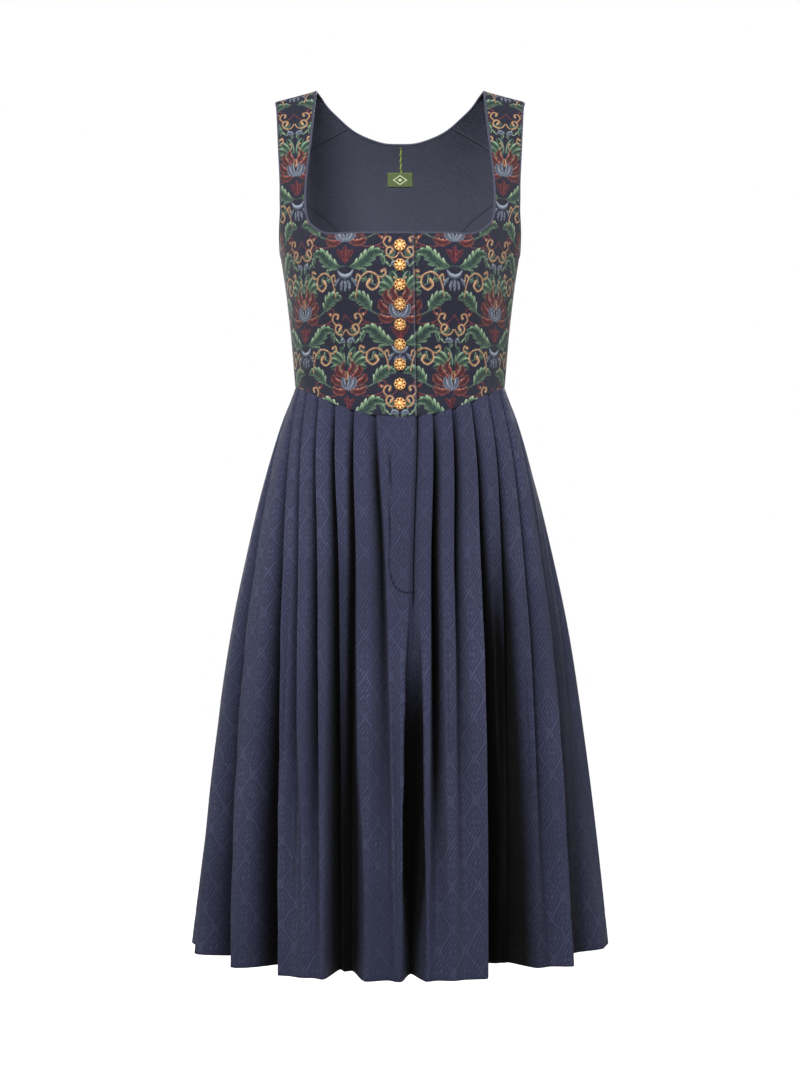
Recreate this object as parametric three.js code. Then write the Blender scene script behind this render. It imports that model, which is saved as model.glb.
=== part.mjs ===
import * as THREE from 'three';

// A sleeveless dirndl with a square neck, buttoned down the front, over a pleated midi skirt.
// Millimetres, +Z up. The front looks to -Y and the wearer's left is +X.
// The origin is where the shoulders carry the dress: midway between the tops of its two straps.

// Cloth and seams
const bodiceCloth = 2.0;
const skirtCloth = 1.3;
const seamGap = 0.3;
const waistGap = 0.6;
const pipingRadius = 1.2;
const pipingSides = 6;
const pipingGap = 0.45;

// Whole dress
const hemDrop = 1065;
const sideWaistDrop = 372;
const frontWaistDip = 41;
const backWaistDip = 8;
const waistDipPower = 1.15;
const torsoRoundness = 2.2;
const skirtRoundness = 2.0;

// Shoulders
const strapInnerX = 106;
const shoulderSlope = 0.36;
const shoulderReach = 90;

// Bust fullness, taken up by the two front darts
const bustX = 72;
const bustDrop = 238;
const bustWide = 46;
const bustTall = 58;
const bustFullness = 10;

// Front closing
const closingEdgeTop = 16.5;
const closingEdgeWaist = 20.5;
const neckDrop = 194;
const underlapWidth = 24;
const underlapEdge = 0.6;
const underlapStep = 2.6;
const underlapRamp = 3.4;

// Buttons
const buttonCount = 9;
const buttonRadius = 7.7;
const buttonHeight = 2.4;
const buttonPetals = 8;
const buttonGap = 0.85;
const firstButtonDrop = 208.5;
const buttonPitch = 23.5;

// Woven tab inside the back neck
const tabWidth = 33;
const tabHeight = 18;
const tabDrop = 88;
const tabCloth = 0.8;

// Placket of the skirt
const placketDrop = 212;
const placketCloth = 1.0;

// Sections of the body of the dress. along is the way down from the top of the shoulder.
const torsoSections = [
  { along: 0, drop: 0, halfWidth: 172, front: 0, back: 0 },
  { along: 18, drop: 4, halfWidth: 171.8, front: 17, back: 18 },
  { along: 40, drop: 17, halfWidth: 171, front: 34, back: 36 },
  { along: 75, drop: 44, halfWidth: 170, front: 56, back: 60 },
  { along: 120, drop: 82, halfWidth: 167.5, front: 77, back: 79 },
  { along: 170, drop: 127, halfWidth: 163, front: 97, back: 92 },
  { along: 220, drop: 174, halfWidth: 155.5, front: 111, back: 99 },
  { along: 262, drop: 215, halfWidth: 148, front: 118, back: 103 },
  { along: 300, drop: 253, halfWidth: 142.3, front: 117, back: 101 },
  { along: 350, drop: 303, halfWidth: 136.6, front: 107, back: 93 },
  { along: 395, drop: 345, halfWidth: 133, front: 99, back: 86 },
  { along: 425, drop: 373, halfWidth: 131, front: 95, back: 82 },
  { along: 480, drop: 427, halfWidth: 131, front: 95, back: 82 },
];

// Edges of the panels: turn is the angle round the body from the centre, in degrees.
const frontArmhole = [
  { turn: 90, along: 256 },
  { turn: 82, along: 248 },
  { turn: 73, along: 225 },
  { turn: 65.3, along: 195 },
  { turn: 62.3, along: 160 },
  { turn: 61.3, along: 120 },
  { turn: 61, along: 75 },
  { turn: 61.5, along: 40 },
  { turn: 62.3, along: 0 },
];
const backArmhole = [
  { turn: 90, along: 256 },
  { turn: 83, along: 247 },
  { turn: 75, along: 222 },
  { turn: 69.5, along: 190 },
  { turn: 66, along: 157 },
  { turn: 64, along: 138 },
  { turn: 62.5, along: 110 },
  { turn: 62, along: 75 },
  { turn: 62, along: 40 },
  { turn: 62.3, along: 0 },
];
const princessSeam = [
  { turn: 66, along: 157 },
  { turn: 52, along: 168 },
  { turn: 40, along: 184 },
  { turn: 30, along: 205 },
  { turn: 23.7, along: 247 },
  { turn: 20.3, along: 307 },
  { turn: 18.3, along: 368 },
  { turn: 17.5, along: 432 },
];

// The neck edge: x is the distance from the centre.
const frontNeck = [
  { x: 112, along: 223 },
  { x: 115.5, along: 211 },
  { x: 116.5, along: 180 },
  { x: 114.5, along: 150 },
  { x: 111.5, along: 115 },
  { x: 108.5, along: 75 },
  { x: 106.5, along: 35 },
  { x: 106, along: 0 },
];
const backNeck = [
  { x: 106, along: 0 },
  { x: 103, along: 13 },
  { x: 97, along: 30 },
  { x: 88, along: 44 },
  { x: 77, along: 56 },
  { x: 67, along: 66 },
  { x: 55, along: 75 },
  { x: 41, along: 82 },
  { x: 20, along: 89 },
  { x: 0, along: 90 },
];
const neckCornerStart = 80;
const cornerPower = 2.2;
const strapSeamX = 67;
const strapSeamAlong = 138;

// Sections of the skirt: down is 0 at the waist seam and 1 at the hem.
const skirtSections = [
  { down: 0, halfWidth: 131, front: 95, back: 82 },
  { down: 0.02, halfWidth: 136, front: 100, back: 88 },
  { down: 0.056, halfWidth: 146, front: 109, back: 99 },
  { down: 0.1, halfWidth: 156, front: 118, back: 111 },
  { down: 0.186, halfWidth: 173, front: 133, back: 130 },
  { down: 0.273, halfWidth: 187.5, front: 147, back: 146 },
  { down: 0.446, halfWidth: 212.5, front: 173, back: 171 },
  { down: 0.619, halfWidth: 230.5, front: 197, back: 190 },
  { down: 0.792, halfWidth: 245.5, front: 217, back: 204 },
  { down: 1, halfWidth: 261, front: 238, back: 217 },
];

// Each pleat round the skirt from the front opening over the wearer's left, the back and the right.
// waist and hem are angles. high, mid and low are the depth of the fold below the waist, half way down
// and at the hem. set is how far the cloth after the fold stays back at the hem.
const pleats = [
  { waist: 7.5, hem: 2.7, high: 4, mid: 8, low: 45, set: 0 },
  { waist: 16, hem: 9.5, high: 22, mid: 36, low: 5, set: 0 },
  { waist: 27, hem: 17, high: 17, mid: 18, low: 3, set: 0 },
  { waist: 40, hem: 27, high: 21, mid: 38, low: 88, set: 76 },
  { waist: 54, hem: 37.5, high: 18, mid: 32, low: 72, set: 22 },
  { waist: 68, hem: 46, high: 15, mid: 20, low: 20, set: 0 },
  { waist: 82, hem: 57, high: 15, mid: 28, low: 64, set: 36 },
  { waist: 95, hem: 82, high: 13, mid: 16, low: 6, set: 0 },
  { waist: 108, hem: 100, high: 16, mid: 26, low: 46, set: 4 },
  { waist: 121, hem: 113, high: 14, mid: 20, low: 10, set: 0 },
  { waist: 134, hem: 127, high: 16, mid: 30, low: 56, set: 8 },
  { waist: 147, hem: 140, high: 13, mid: 18, low: 5, set: 0 },
  { waist: 160, hem: 153, high: 16, mid: 28, low: 50, set: 0 },
  { waist: 173, hem: 169, high: 15, mid: 22, low: 24, set: 0 },
  { waist: 186, hem: 185, high: 16, mid: 26, low: 44, set: 0 },
  { waist: 199, hem: 202, high: 13, mid: 18, low: 6, set: 3 },
  { waist: 212, hem: 217, high: 16, mid: 30, low: 54, set: 0 },
  { waist: 225, hem: 231, high: 13, mid: 18, low: 8, set: 6 },
  { waist: 238, hem: 246, high: 16, mid: 28, low: 50, set: 0 },
  { waist: 251, hem: 260, high: 13, mid: 18, low: 6, set: 0 },
  { waist: 264, hem: 277, high: 14, mid: 20, low: 10, set: 0 },
  { waist: 276, hem: 299, high: 15, mid: 30, low: 58, set: 0 },
  { waist: 289, hem: 324.5, high: 18, mid: 40, low: 75, set: 0 },
  { waist: 300, hem: 330.5, high: 15, mid: 18, low: 3, set: 0 },
  { waist: 311.5, hem: 337.5, high: 19, mid: 28, low: 4, set: 0 },
  { waist: 324.6, hem: 343.3, high: 23, mid: 40, low: 62, set: 52 },
  { waist: 336.6, hem: 346.7, high: 19, mid: 34, low: 58, set: 0 },
  { waist: 348.5, hem: 357, high: 14, mid: 18, low: 9, set: 0 },
];
const pleatDepthAtWaist = 5;
const pleatHigh = 0.16;
const pleatMid = 0.45;
const setPower = 1.6;
const skirtRoundBy = 0.3;

// Share of a pleat's width that its steep side and its soft side take
const wallShareAtWaist = 0.07;
const wallShareAtHem = 0.45;
const wallPower = 1.5;
const slopeShareAtWaist = 0.36;
const slopeShareAtHem = 0.55;
const backBoxPleat = 13;
const frontBoxPleat = 27;
const sidePleatLeft = 7;
const sidePleatRight = 20;
const pleatColumns = [0, 0.13, 0.3, 0.55, 0.78, 0.92];
const endColumnGap = 0.04;
const slopeStep = 0.01;
const skirtRows = [0, 0.03, 0.08, 0.15, 0.25, 0.36, 0.48, 0.61, 0.74, 0.87, 1];

// Grid of the bodice panels
const centreShares = [0, 0.2, 0.4, 0.58, 0.72, 0.83, 0.92, 1];
const sideColumns = 6;
const bodiceRows = 9;
const underStrapTurn = 52;
const underStrapLean = 1.3;
const strapFrontRows = 12;
const strapBackRows = 7;
const backNeckColumns = 5;
const backRows = 11;

// Colours
const clothPrint = new THREE.MeshStandardMaterial({ color: 0x34404a, roughness: 0.95, metalness: 0 });
const clothBlue = new THREE.MeshStandardMaterial({ color: 0x3d4160, roughness: 0.8, metalness: 0 });
const clothPiping = new THREE.MeshStandardMaterial({ color: 0x39405a, roughness: 0.8, metalness: 0 });
const brass = new THREE.MeshStandardMaterial({ color: 0xd9a45f, roughness: 0.35, metalness: 0.9 });
const wovenTab = new THREE.MeshStandardMaterial({ color: 0x6d7f4b, roughness: 0.9, metalness: 0 });

const dress = new THREE.Group();
const degree = Math.PI / 180;

function clamp01(value) {
  return Math.min(1, Math.max(0, value));
}

function smoothStep(value) {
  const t = clamp01(value);
  return t * t * (3 - 2 * t);
}

// Slope of a smooth curve through three neighbouring rows that never overshoots them
function rowSlope(before, here, after, key, column) {
  const stepBefore = here[key] - before[key];
  const stepAfter = after[key] - here[key];
  const slopeBefore = (here[column] - before[column]) / stepBefore;
  const slopeAfter = (after[column] - here[column]) / stepAfter;
  if (slopeBefore * slopeAfter <= 0) {
    return 0;
  }
  const weightBefore = 2 * stepAfter + stepBefore;
  const weightAfter = stepAfter + 2 * stepBefore;
  return (weightBefore + weightAfter) / (weightBefore / slopeBefore + weightAfter / slopeAfter);
}

// Value of one column of a table at a place along its key column
function smoothRow(rows, key, column, place) {
  const last = rows.length - 1;
  const at = Math.min(rows[last][key], Math.max(rows[0][key], place));
  let i = 0;
  while (i < last - 1 && rows[i + 1][key] < at) {
    i += 1;
  }
  const step = rows[i + 1][key] - rows[i][key];
  const chord = (rows[i + 1][column] - rows[i][column]) / step;
  const slopeHere = i > 0 ? rowSlope(rows[i - 1], rows[i], rows[i + 1], key, column) : chord;
  const slopeNext = i < last - 1 ? rowSlope(rows[i], rows[i + 1], rows[i + 2], key, column) : chord;
  const t = (at - rows[i][key]) / step;
  const rest = 1 - t;
  return rows[i][column] * rest * rest * (1 + 2 * t)
    + rows[i + 1][column] * t * t * (3 - 2 * t)
    + slopeHere * step * t * rest * rest
    - slopeNext * step * t * t * rest;
}

// Smooth curve through the rows of an edge table, as a function from 0 to 1
function edgeCurve(rows) {
  const keys = Object.keys(rows[0]);
  const points = rows.map((row) => new THREE.Vector3(row[keys[0]], row[keys[1]], 0));
  const curve = new THREE.CatmullRomCurve3(points, false, 'centripetal');
  return (t) => {
    const point = curve.getPointAt(clamp01(t));
    return { [keys[0]]: point.x, [keys[1]]: point.y };
  };
}

function torsoColumn(along, column) {
  return smoothRow(torsoSections, 'along', column, Math.abs(along));
}

function turnAt(x, along) {
  const share = Math.abs(x) / torsoColumn(along, 'halfWidth');
  return Math.sign(x) * Math.asin(Math.pow(Math.min(1, share), torsoRoundness / 2)) / degree;
}

function alongAt(drop) {
  let low = 0;
  let high = torsoSections[torsoSections.length - 1].along;
  for (let i = 0; i < 40; i += 1) {
    const middle = (low + high) / 2;
    if (torsoColumn(middle, 'drop') < drop) {
      low = middle;
    } else {
      high = middle;
    }
  }
  return (low + high) / 2;
}

// A point of the body of the dress. along is negative on the front and positive on the back.
function torsoPoint(turn, along, side, onBack) {
  const angle = turn * degree;
  const across = Math.sign(angle) * Math.pow(Math.abs(Math.sin(angle)), 2 / torsoRoundness);
  const outward = Math.pow(Math.max(0, Math.cos(angle)), 2 / torsoRoundness);
  const x = torsoColumn(along, 'halfWidth') * across;
  const drop = torsoColumn(along, 'drop');
  let depth = torsoColumn(along, onBack ? 'back' : 'front') * outward;
  if (!onBack) {
    const sideways = (Math.abs(x) - bustX) / bustWide;
    const upDown = (drop - bustDrop) / bustTall;
    depth += bustFullness * Math.exp(-sideways * sideways - upDown * upDown) * Math.sqrt(outward);
  }
  const fade = Math.pow(clamp01(1 - Math.abs(along) / shoulderReach), 2);
  const slope = shoulderSlope * Math.max(0, Math.abs(x) - strapInnerX) * fade;
  return new THREE.Vector3(side * x, onBack ? depth : -depth, -drop - slope);
}

// Outward direction of the body of the dress at one of its points
function torsoNormal(turn, along, side, onBack) {
  const step = 0.5;
  const path = onBack ? along : -along;
  const at = (turned, way) => {
    const past = turned > 90;
    const there = past ? -way : way;
    return torsoPoint(past ? 180 - turned : turned, Math.abs(there), side, there > 0);
  };
  const around = at(turn + step, path).sub(at(turn - step, path));
  const over = at(turn, path + step).sub(at(turn, path - step));
  return around.cross(over).multiplyScalar(side).normalize();
}

function torsoVertex(turn, along, side, onBack) {
  const vertex = torsoPoint(turn, along, side, onBack);
  vertex.normal = torsoNormal(turn, along, side, onBack);
  return vertex;
}

function waistDropAt(turn, onBack) {
  const across = Math.pow(Math.abs(Math.sin(turn * degree)), 4 / torsoRoundness);
  const dip = onBack ? backWaistDip : frontWaistDip;
  return sideWaistDrop + dip * Math.pow(Math.max(0, 1 - across), waistDipPower);
}

function closingEdgeX(along) {
  const share = clamp01((torsoColumn(along, 'drop') - neckDrop) / (sideWaistDrop + frontWaistDip - neckDrop));
  return closingEdgeTop + (closingEdgeWaist - closingEdgeTop) * share;
}

// A sheet of cloth: points and their normals with the faces between them, before it has a thickness
function newSheet() {
  return { points: [], normals: [], faces: [], index: new Map() };
}

function sheetVertex(sheet, point) {
  const key = [point.x, point.y, point.z].map((value) => Math.round(value * 1e4)).join(',');
  if (!sheet.index.has(key)) {
    sheet.index.set(key, sheet.points.length);
    sheet.points.push(point.clone());
    sheet.normals.push(point.normal);
  }
  return sheet.index.get(key);
}

// Adds a grid of points, given as rows; flip turns its outer side over
function addGrid(sheet, rows, flip) {
  const ids = rows.map((row) => row.map((point) => sheetVertex(sheet, point)));
  for (let r = 0; r + 1 < ids.length; r += 1) {
    for (let c = 0; c + 1 < ids[r].length; c += 1) {
      const a = ids[r][c];
      const b = ids[r][c + 1];
      const d = ids[r + 1][c + 1];
      const e = ids[r + 1][c];
      const loops = flip ? [[a, d, b], [a, e, d]] : [[a, b, d], [a, d, e]];
      loops.filter((loop) => new Set(loop).size === 3).forEach((loop) => sheet.faces.push(loop));
    }
  }
}

function edgeLoops(sheet) {
  const used = new Set();
  sheet.faces.forEach((face) => {
    face.forEach((id, corner) => used.add(`${id}/${face[(corner + 1) % 3]}`));
  });
  const edges = [];
  sheet.faces.forEach((face) => {
    face.forEach((id, corner) => {
      const next = face[(corner + 1) % 3];
      if (!used.has(`${next}/${id}`)) {
        edges.push([id, next]);
      }
    });
  });
  return edges;
}

// Draws every open edge of the sheet in by half a seam gap
function trimEdges(sheet, distance) {
  const pull = new Map();
  edgeLoops(sheet).forEach(([a, b]) => {
    const along = sheet.points[b].clone().sub(sheet.points[a]).normalize();
    [a, b].forEach((id) => {
      const inward = sheet.normals[id].clone().cross(along).normalize();
      if (!pull.has(id)) {
        pull.set(id, []);
      }
      pull.get(id).push(inward);
    });
  });
  pull.forEach((directions, id) => {
    const sum = directions.reduce((total, each) => total.add(each), new THREE.Vector3());
    const length = sum.length() / directions.length;
    const corner = Math.max(0.35, length * length);
    sheet.points[id].addScaledVector(sum.divideScalar(directions.length), distance / corner);
  });
}

// Gives a sheet its thickness on the inner side and closes it round its edges
function wallGeometry(sheet, thickness, inset) {
  const count = sheet.points.length;
  const positions = [];
  [inset, inset + thickness].forEach((depth) => {
    sheet.points.forEach((point, id) => {
      const moved = point.clone().addScaledVector(sheet.normals[id], -depth);
      positions.push(moved.x, moved.y, moved.z);
    });
  });
  const indices = [];
  sheet.faces.forEach(([a, b, c]) => {
    indices.push(a, b, c);
    indices.push(a + count, c + count, b + count);
  });
  edgeLoops(sheet).forEach(([a, b]) => {
    indices.push(a, a + count, b + count);
    indices.push(a, b + count, b);
  });
  const geometry = new THREE.BufferGeometry();
  geometry.setAttribute('position', new THREE.Float32BufferAttribute(positions, 3));
  geometry.setIndex(indices);
  geometry.computeVertexNormals();
  return geometry;
}

function addMesh(name, geometry, material) {
  const mesh = new THREE.Mesh(geometry, material);
  mesh.name = name;
  dress.add(mesh);
  return mesh;
}

function mix(a, b, t) {
  return a + (b - a) * t;
}

// Rows of points between four edges, each a function from 0 to 1 that gives turn and along
function patchRows(edges, columnShares, rowShares) {
  const corner = {
    a: edges.bottom(0),
    b: edges.bottom(1),
    c: edges.top(0),
    d: edges.top(1),
  };
  return rowShares.map((v) => columnShares.map((u) => {
    const low = edges.bottom(u);
    const high = edges.top(u);
    const start = edges.start(v);
    const end = edges.end(v);
    const place = {};
    ['turn', 'along'].forEach((key) => {
      const across = mix(low[key], high[key], v) + mix(start[key], end[key], u);
      const ruled = mix(mix(corner.a[key], corner.b[key], u), mix(corner.c[key], corner.d[key], u), v);
      place[key] = across - ruled;
    });
    return place;
  }));
}

function evenShares(count) {
  return Array.from({ length: count + 1 }, (unused, i) => i / count);
}

const frontArmholeCurve = edgeCurve(frontArmhole);
const backArmholeCurve = edgeCurve(backArmhole);
const frontNeckCurve = edgeCurve(frontNeck);
const backNeckCurve = edgeCurve(backNeck);
const princessCurve = edgeCurve(princessSeam);

function neckPlace(curve, t) {
  const { x, along } = curve(t);
  return { turn: turnAt(x, along), along };
}

// Share of a curve at which one of its values is reached
function shareWhere(curve, key, value) {
  const rising = curve(1)[key] > curve(0)[key];
  let low = 0;
  let high = 1;
  for (let i = 0; i < 40; i += 1) {
    const middle = (low + high) / 2;
    if ((curve(middle)[key] < value) === rising) {
      low = middle;
    } else {
      high = middle;
    }
  }
  return (low + high) / 2;
}

const cornerX = frontNeck[0].x;
const cornerAlong = frontNeck[0].along;
const cornerDrop = torsoColumn(cornerAlong, 'drop');

// Height of the neck edge across the front, rounded up into the strap
function frontNeckDrop(x) {
  const rise = clamp01((Math.abs(x) - neckCornerStart) / (cornerX - neckCornerStart));
  return neckDrop - (neckDrop - cornerDrop) * Math.pow(rise, cornerPower);
}

function waistPlace(turn, onBack) {
  return { turn, along: alongAt(waistDropAt(turn, onBack)) };
}

const strapBackStart = shareWhere(backNeckCurve, 'x', strapSeamX);
const armholeStrapEnd = shareWhere(backArmholeCurve, 'along', strapSeamAlong);
const armholePrincess = shareWhere(backArmholeCurve, 'along', princessSeam[0].along);

// One half of the front with its strap, which runs over the shoulder to the back seam
function frontSheet(side, centreXs) {
  const sheet = newSheet();
  const flip = side < 0;
  const rows = evenShares(bodiceRows);
  const place = ({ turn, along }, onBack) => torsoVertex(turn, along, side, onBack);

  const cornerTurn = turnAt(cornerX, cornerAlong);
  const sharedLine = (v) => ({
    turn: mix(underStrapTurn, cornerTurn, Math.pow(v, underStrapLean)),
    along: mix(waistPlace(underStrapTurn, false).along, cornerAlong, v),
  });

  const centreRows = rows.map((v) => {
    const shared = sharedLine(v);
    const sharedX = torsoColumn(shared.along, 'halfWidth')
      * Math.pow(Math.sin(shared.turn * degree), 2 / torsoRoundness);
    return centreXs.map((share) => {
      const top = alongAt(frontNeckDrop(share.x(cornerAlong, cornerX)));
      const waistX = share.x(waistPlace(0, false).along, sharedX);
      const bottom = waistPlace(turnAt(waistX, shared.along), false).along;
      const along = share.last ? shared.along : mix(bottom, top, v);
      const x = share.x(along, sharedX);
      const turn = share.last ? shared.turn : turnAt(x, along);
      const point = place({ turn, along }, false);
      if (share.inset > 0) {
        point.y += share.inset;
      }
      return point;
    });
  });
  addGrid(sheet, centreRows, flip);

  const sideEdges = {
    bottom: (u) => waistPlace(mix(underStrapTurn, 90, u), false),
    top: (u) => ({ turn: mix(cornerTurn, 90, u), along: mix(cornerAlong, frontArmhole[0].along, u) }),
    start: sharedLine,
    end: (v) => ({ turn: 90, along: mix(waistPlace(90, false).along, frontArmhole[0].along, v) }),
  };
  const sideRows = patchRows(sideEdges, evenShares(sideColumns), rows);
  addGrid(sheet, sideRows.map((row) => row.map((each) => place(each, false))), flip);

  const strapShares = evenShares(sideColumns);
  const strapFront = {
    start: (t) => neckPlace(frontNeckCurve, t),
    end: (t) => frontArmholeCurve(t),
  };
  const frontStrapRows = evenShares(strapFrontRows).map((t) => strapShares.map((u) => {
    const inner = strapFront.start(t);
    const outer = strapFront.end(t);
    return place({ turn: mix(inner.turn, outer.turn, u), along: mix(inner.along, outer.along, u) }, false);
  }));
  addGrid(sheet, frontStrapRows, flip);

  const backStrapRows = evenShares(strapBackRows).map((t) => strapShares.map((u) => {
    const inner = neckPlace(backNeckCurve, t * strapBackStart);
    const outer = backArmholeCurve(mix(1, armholeStrapEnd, t));
    return place({ turn: mix(inner.turn, outer.turn, u), along: mix(inner.along, outer.along, u) }, true);
  }));
  addGrid(sheet, backStrapRows, flip);
  return sheet;
}

// Columns of the front between its centre edge and the line under the strap
function overlappingColumns() {
  return centreShares.map((share) => ({
    inset: 0,
    last: share === 1,
    x: (along, sharedX) => mix(-closingEdgeX(along), sharedX, share),
  }));
}

function underlappingColumns() {
  const underneath = [-underlapWidth, -underlapWidth / 2, underlapEdge].map((offset) => ({
    inset: underlapStep,
    last: false,
    x: (along) => closingEdgeX(along) + offset,
  }));
  const outside = centreShares.map((share) => ({
    inset: 0,
    last: share === 1,
    x: (along, sharedX) => mix(closingEdgeX(along) + underlapRamp, sharedX, share),
  }));
  return [...underneath, ...outside];
}

function addFronts() {
  const halves = [
    { name: 'front_right', side: -1, columns: overlappingColumns() },
    { name: 'front_left', side: 1, columns: underlappingColumns() },
  ];
  halves.forEach(({ name, side, columns }) => {
    const sheet = frontSheet(side, columns);
    trimEdges(sheet, seamGap / 2);
    addMesh(name, wallGeometry(sheet, bodiceCloth, 0), clothPrint);
  });
}

const strapSeamInner = neckPlace(backNeckCurve, strapBackStart);
const strapSeamOuter = backArmholeCurve(armholeStrapEnd);

// Upper edge of the back: half the neck, then the seam under the strap
function backTop(u) {
  const split = backNeckColumns / (backNeckColumns + sideColumns);
  if (u <= split) {
    return neckPlace(backNeckCurve, mix(1, strapBackStart, u / split));
  }
  const t = (u - split) / (1 - split);
  return {
    turn: mix(strapSeamInner.turn, strapSeamOuter.turn, t),
    along: mix(strapSeamInner.along, strapSeamOuter.along, t),
  };
}

const princessRows = backRows - 1;

// The seam from the waist up to the armhole, then the armhole up to the strap
function backOuterEdge(v) {
  const split = princessRows / backRows;
  if (v <= split) {
    return princessPlace(v / split);
  }
  return backArmholeCurve(mix(armholePrincess, armholeStrapEnd, (v - split) / (1 - split)));
}

function princessPlace(v) {
  const place = princessCurve(1 - v);
  if (v === 0) {
    return waistPlace(place.turn, true);
  }
  return place;
}

function addBacks() {
  const seamTurn = princessSeam[princessSeam.length - 1].turn;
  const neckMiddle = backNeck[backNeck.length - 1];
  const centreEdges = {
    bottom: (u) => waistPlace(mix(0, seamTurn, u), true),
    top: backTop,
    start: (v) => ({ turn: 0, along: mix(waistPlace(0, true).along, neckMiddle.along, v) }),
    end: backOuterEdge,
  };
  const columns = evenShares(backNeckColumns + sideColumns);
  const rows = patchRows(centreEdges, columns, evenShares(backRows));
  const centre = newSheet();
  [-1, 1].forEach((side) => {
    const points = rows.map((row) => row.map(({ turn, along }) => torsoVertex(turn, along, side, true)));
    addGrid(centre, points, side > 0);
  });
  trimEdges(centre, seamGap / 2);
  addMesh('back_centre', wallGeometry(centre, bodiceCloth, 0), clothPrint);

  const sideEdges = {
    bottom: (u) => waistPlace(mix(seamTurn, 90, u), true),
    top: (u) => backArmholeCurve(mix(armholePrincess, 0, u)),
    start: princessPlace,
    end: (v) => ({ turn: 90, along: mix(waistPlace(90, true).along, backArmhole[0].along, v) }),
  };
  const sideRows = patchRows(sideEdges, evenShares(sideColumns), evenShares(princessRows));
  const sides = [
    { name: 'back_side_right', side: -1 },
    { name: 'back_side_left', side: 1 },
  ];
  sides.forEach(({ name, side }) => {
    const sheet = newSheet();
    const points = sideRows.map((row) => row.map(({ turn, along }) => torsoVertex(turn, along, side, true)));
    addGrid(sheet, points, side > 0);
    trimEdges(sheet, seamGap / 2);
    addMesh(name, wallGeometry(sheet, bodiceCloth, 0), clothPrint);
  });
}

function skirtColumn(down, column) {
  return smoothRow(skirtSections, 'down', column, down);
}

// How much of the way from its hem angle to its waist angle a pleat has turned
function pleatTurn(down) {
  const top = 1 / skirtColumn(0, 'halfWidth');
  const hem = 1 / skirtColumn(1, 'halfWidth');
  return (1 / skirtColumn(down, 'halfWidth') - hem) / (top - hem);
}

function pleatAt(index) {
  const count = pleats.length;
  const lap = Math.floor(index / count);
  const row = pleats[index - lap * count];
  return { ...row, waist: row.waist + 360 * lap, hem: row.hem + 360 * lap };
}

function pleatDepth(pleat, down) {
  const rows = [
    { down: 0, depth: pleatDepthAtWaist },
    { down: pleatHigh, depth: pleat.high },
    { down: pleatMid, depth: pleat.mid },
    { down: 1, depth: pleat.low },
  ];
  return smoothRow(rows, 'down', 'depth', down);
}

// Depth of the cloth behind the outline of the skirt, share of the way from one fold to the next
function foldDepth(index, share, down) {
  const here = pleatDepth(pleatAt(index), down);
  const next = pleatDepth(pleatAt(index + 1), down);
  const set = pleatAt(index).set * Math.pow(down, setPower);
  const wall = mix(wallShareAtWaist, wallShareAtHem, Math.pow(down, wallPower));
  const slope = mix(slopeShareAtWaist, slopeShareAtHem, down);
  const lobe = index % pleats.length;
  const wallFirst = lobe > backBoxPleat;
  const wallLast = lobe < backBoxPleat || lobe === frontBoxPleat;
  const first = wallFirst ? wall : slope;
  const last = wallLast ? wall : slope;
  const fromHere = (here - set) * (1 - smoothStep(share / first));
  const fromNext = (next - set) * (1 - smoothStep((1 - share) / last));
  return set + fromHere + fromNext;
}

// A point of the skirt. place counts pleats round from the front opening.
function skirtPoint(place, down) {
  const index = Math.floor(place + 1e-9);
  const share = place - index;
  const here = pleatAt(index);
  const next = pleatAt(index + 1);
  const turned = pleatTurn(down);
  const angleHere = mix(here.hem, here.waist, turned);
  const angleNext = mix(next.hem, next.waist, turned);
  const angle = mix(angleHere, angleNext, share) * degree;
  const roundness = mix(torsoRoundness, skirtRoundness, smoothStep(down / skirtRoundBy));
  const sine = Math.sin(angle);
  const cosine = Math.cos(angle);
  const onBack = cosine < 0;
  const across = Math.sign(sine) * Math.pow(Math.abs(sine), 2 / roundness);
  const outward = Math.pow(Math.abs(cosine), 2 / roundness);
  const depth = skirtColumn(down, onBack ? 'back' : 'front') * outward;
  const x = skirtColumn(down, 'halfWidth') * across;
  const y = onBack ? depth : -depth;
  const inward = new THREE.Vector2(-sine * Math.abs(sine), cosine).normalize();
  const fold = foldDepth(index, share, down);
  const bodyTurn = Math.asin(Math.min(1, Math.abs(sine))) / degree;
  const top = waistDropAt(bodyTurn, onBack) + waistGap;
  const z = -mix(top, hemDrop, down);
  return new THREE.Vector3(x + inward.x * fold, y + inward.y * fold, z);
}

// Places of the columns of cloth between two places round the skirt
function skirtPlaces(from, to) {
  const places = [];
  for (let index = Math.floor(from); index < to; index += 1) {
    const wallFirst = index % pleats.length > backBoxPleat;
    const shares = wallFirst ? pleatColumns.map((share) => 1 - share).reverse() : pleatColumns;
    shares.forEach((share) => places.push(index + share));
  }
  const inside = places.filter((place) => place > from + endColumnGap && place < to - endColumnGap);
  return [from, ...inside, to];
}

function skirtVertex(place, down) {
  const step = slopeStep;
  const vertex = skirtPoint(place, down);
  const before = place < step ? pleats.length : 0;
  const around = skirtPoint(place + step, down).sub(skirtPoint(place - step + before, down));
  const fall = skirtPoint(place, Math.min(1, down + step)).sub(skirtPoint(place, Math.max(0, down - step)));
  vertex.normal = fall.cross(around).normalize();
  return vertex;
}

function skirtSheet(places, rows) {
  const sheet = newSheet();
  const points = rows.map((down) => places.map((place) => skirtVertex(place, down)));
  addGrid(sheet, points, true);
  return sheet;
}

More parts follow.
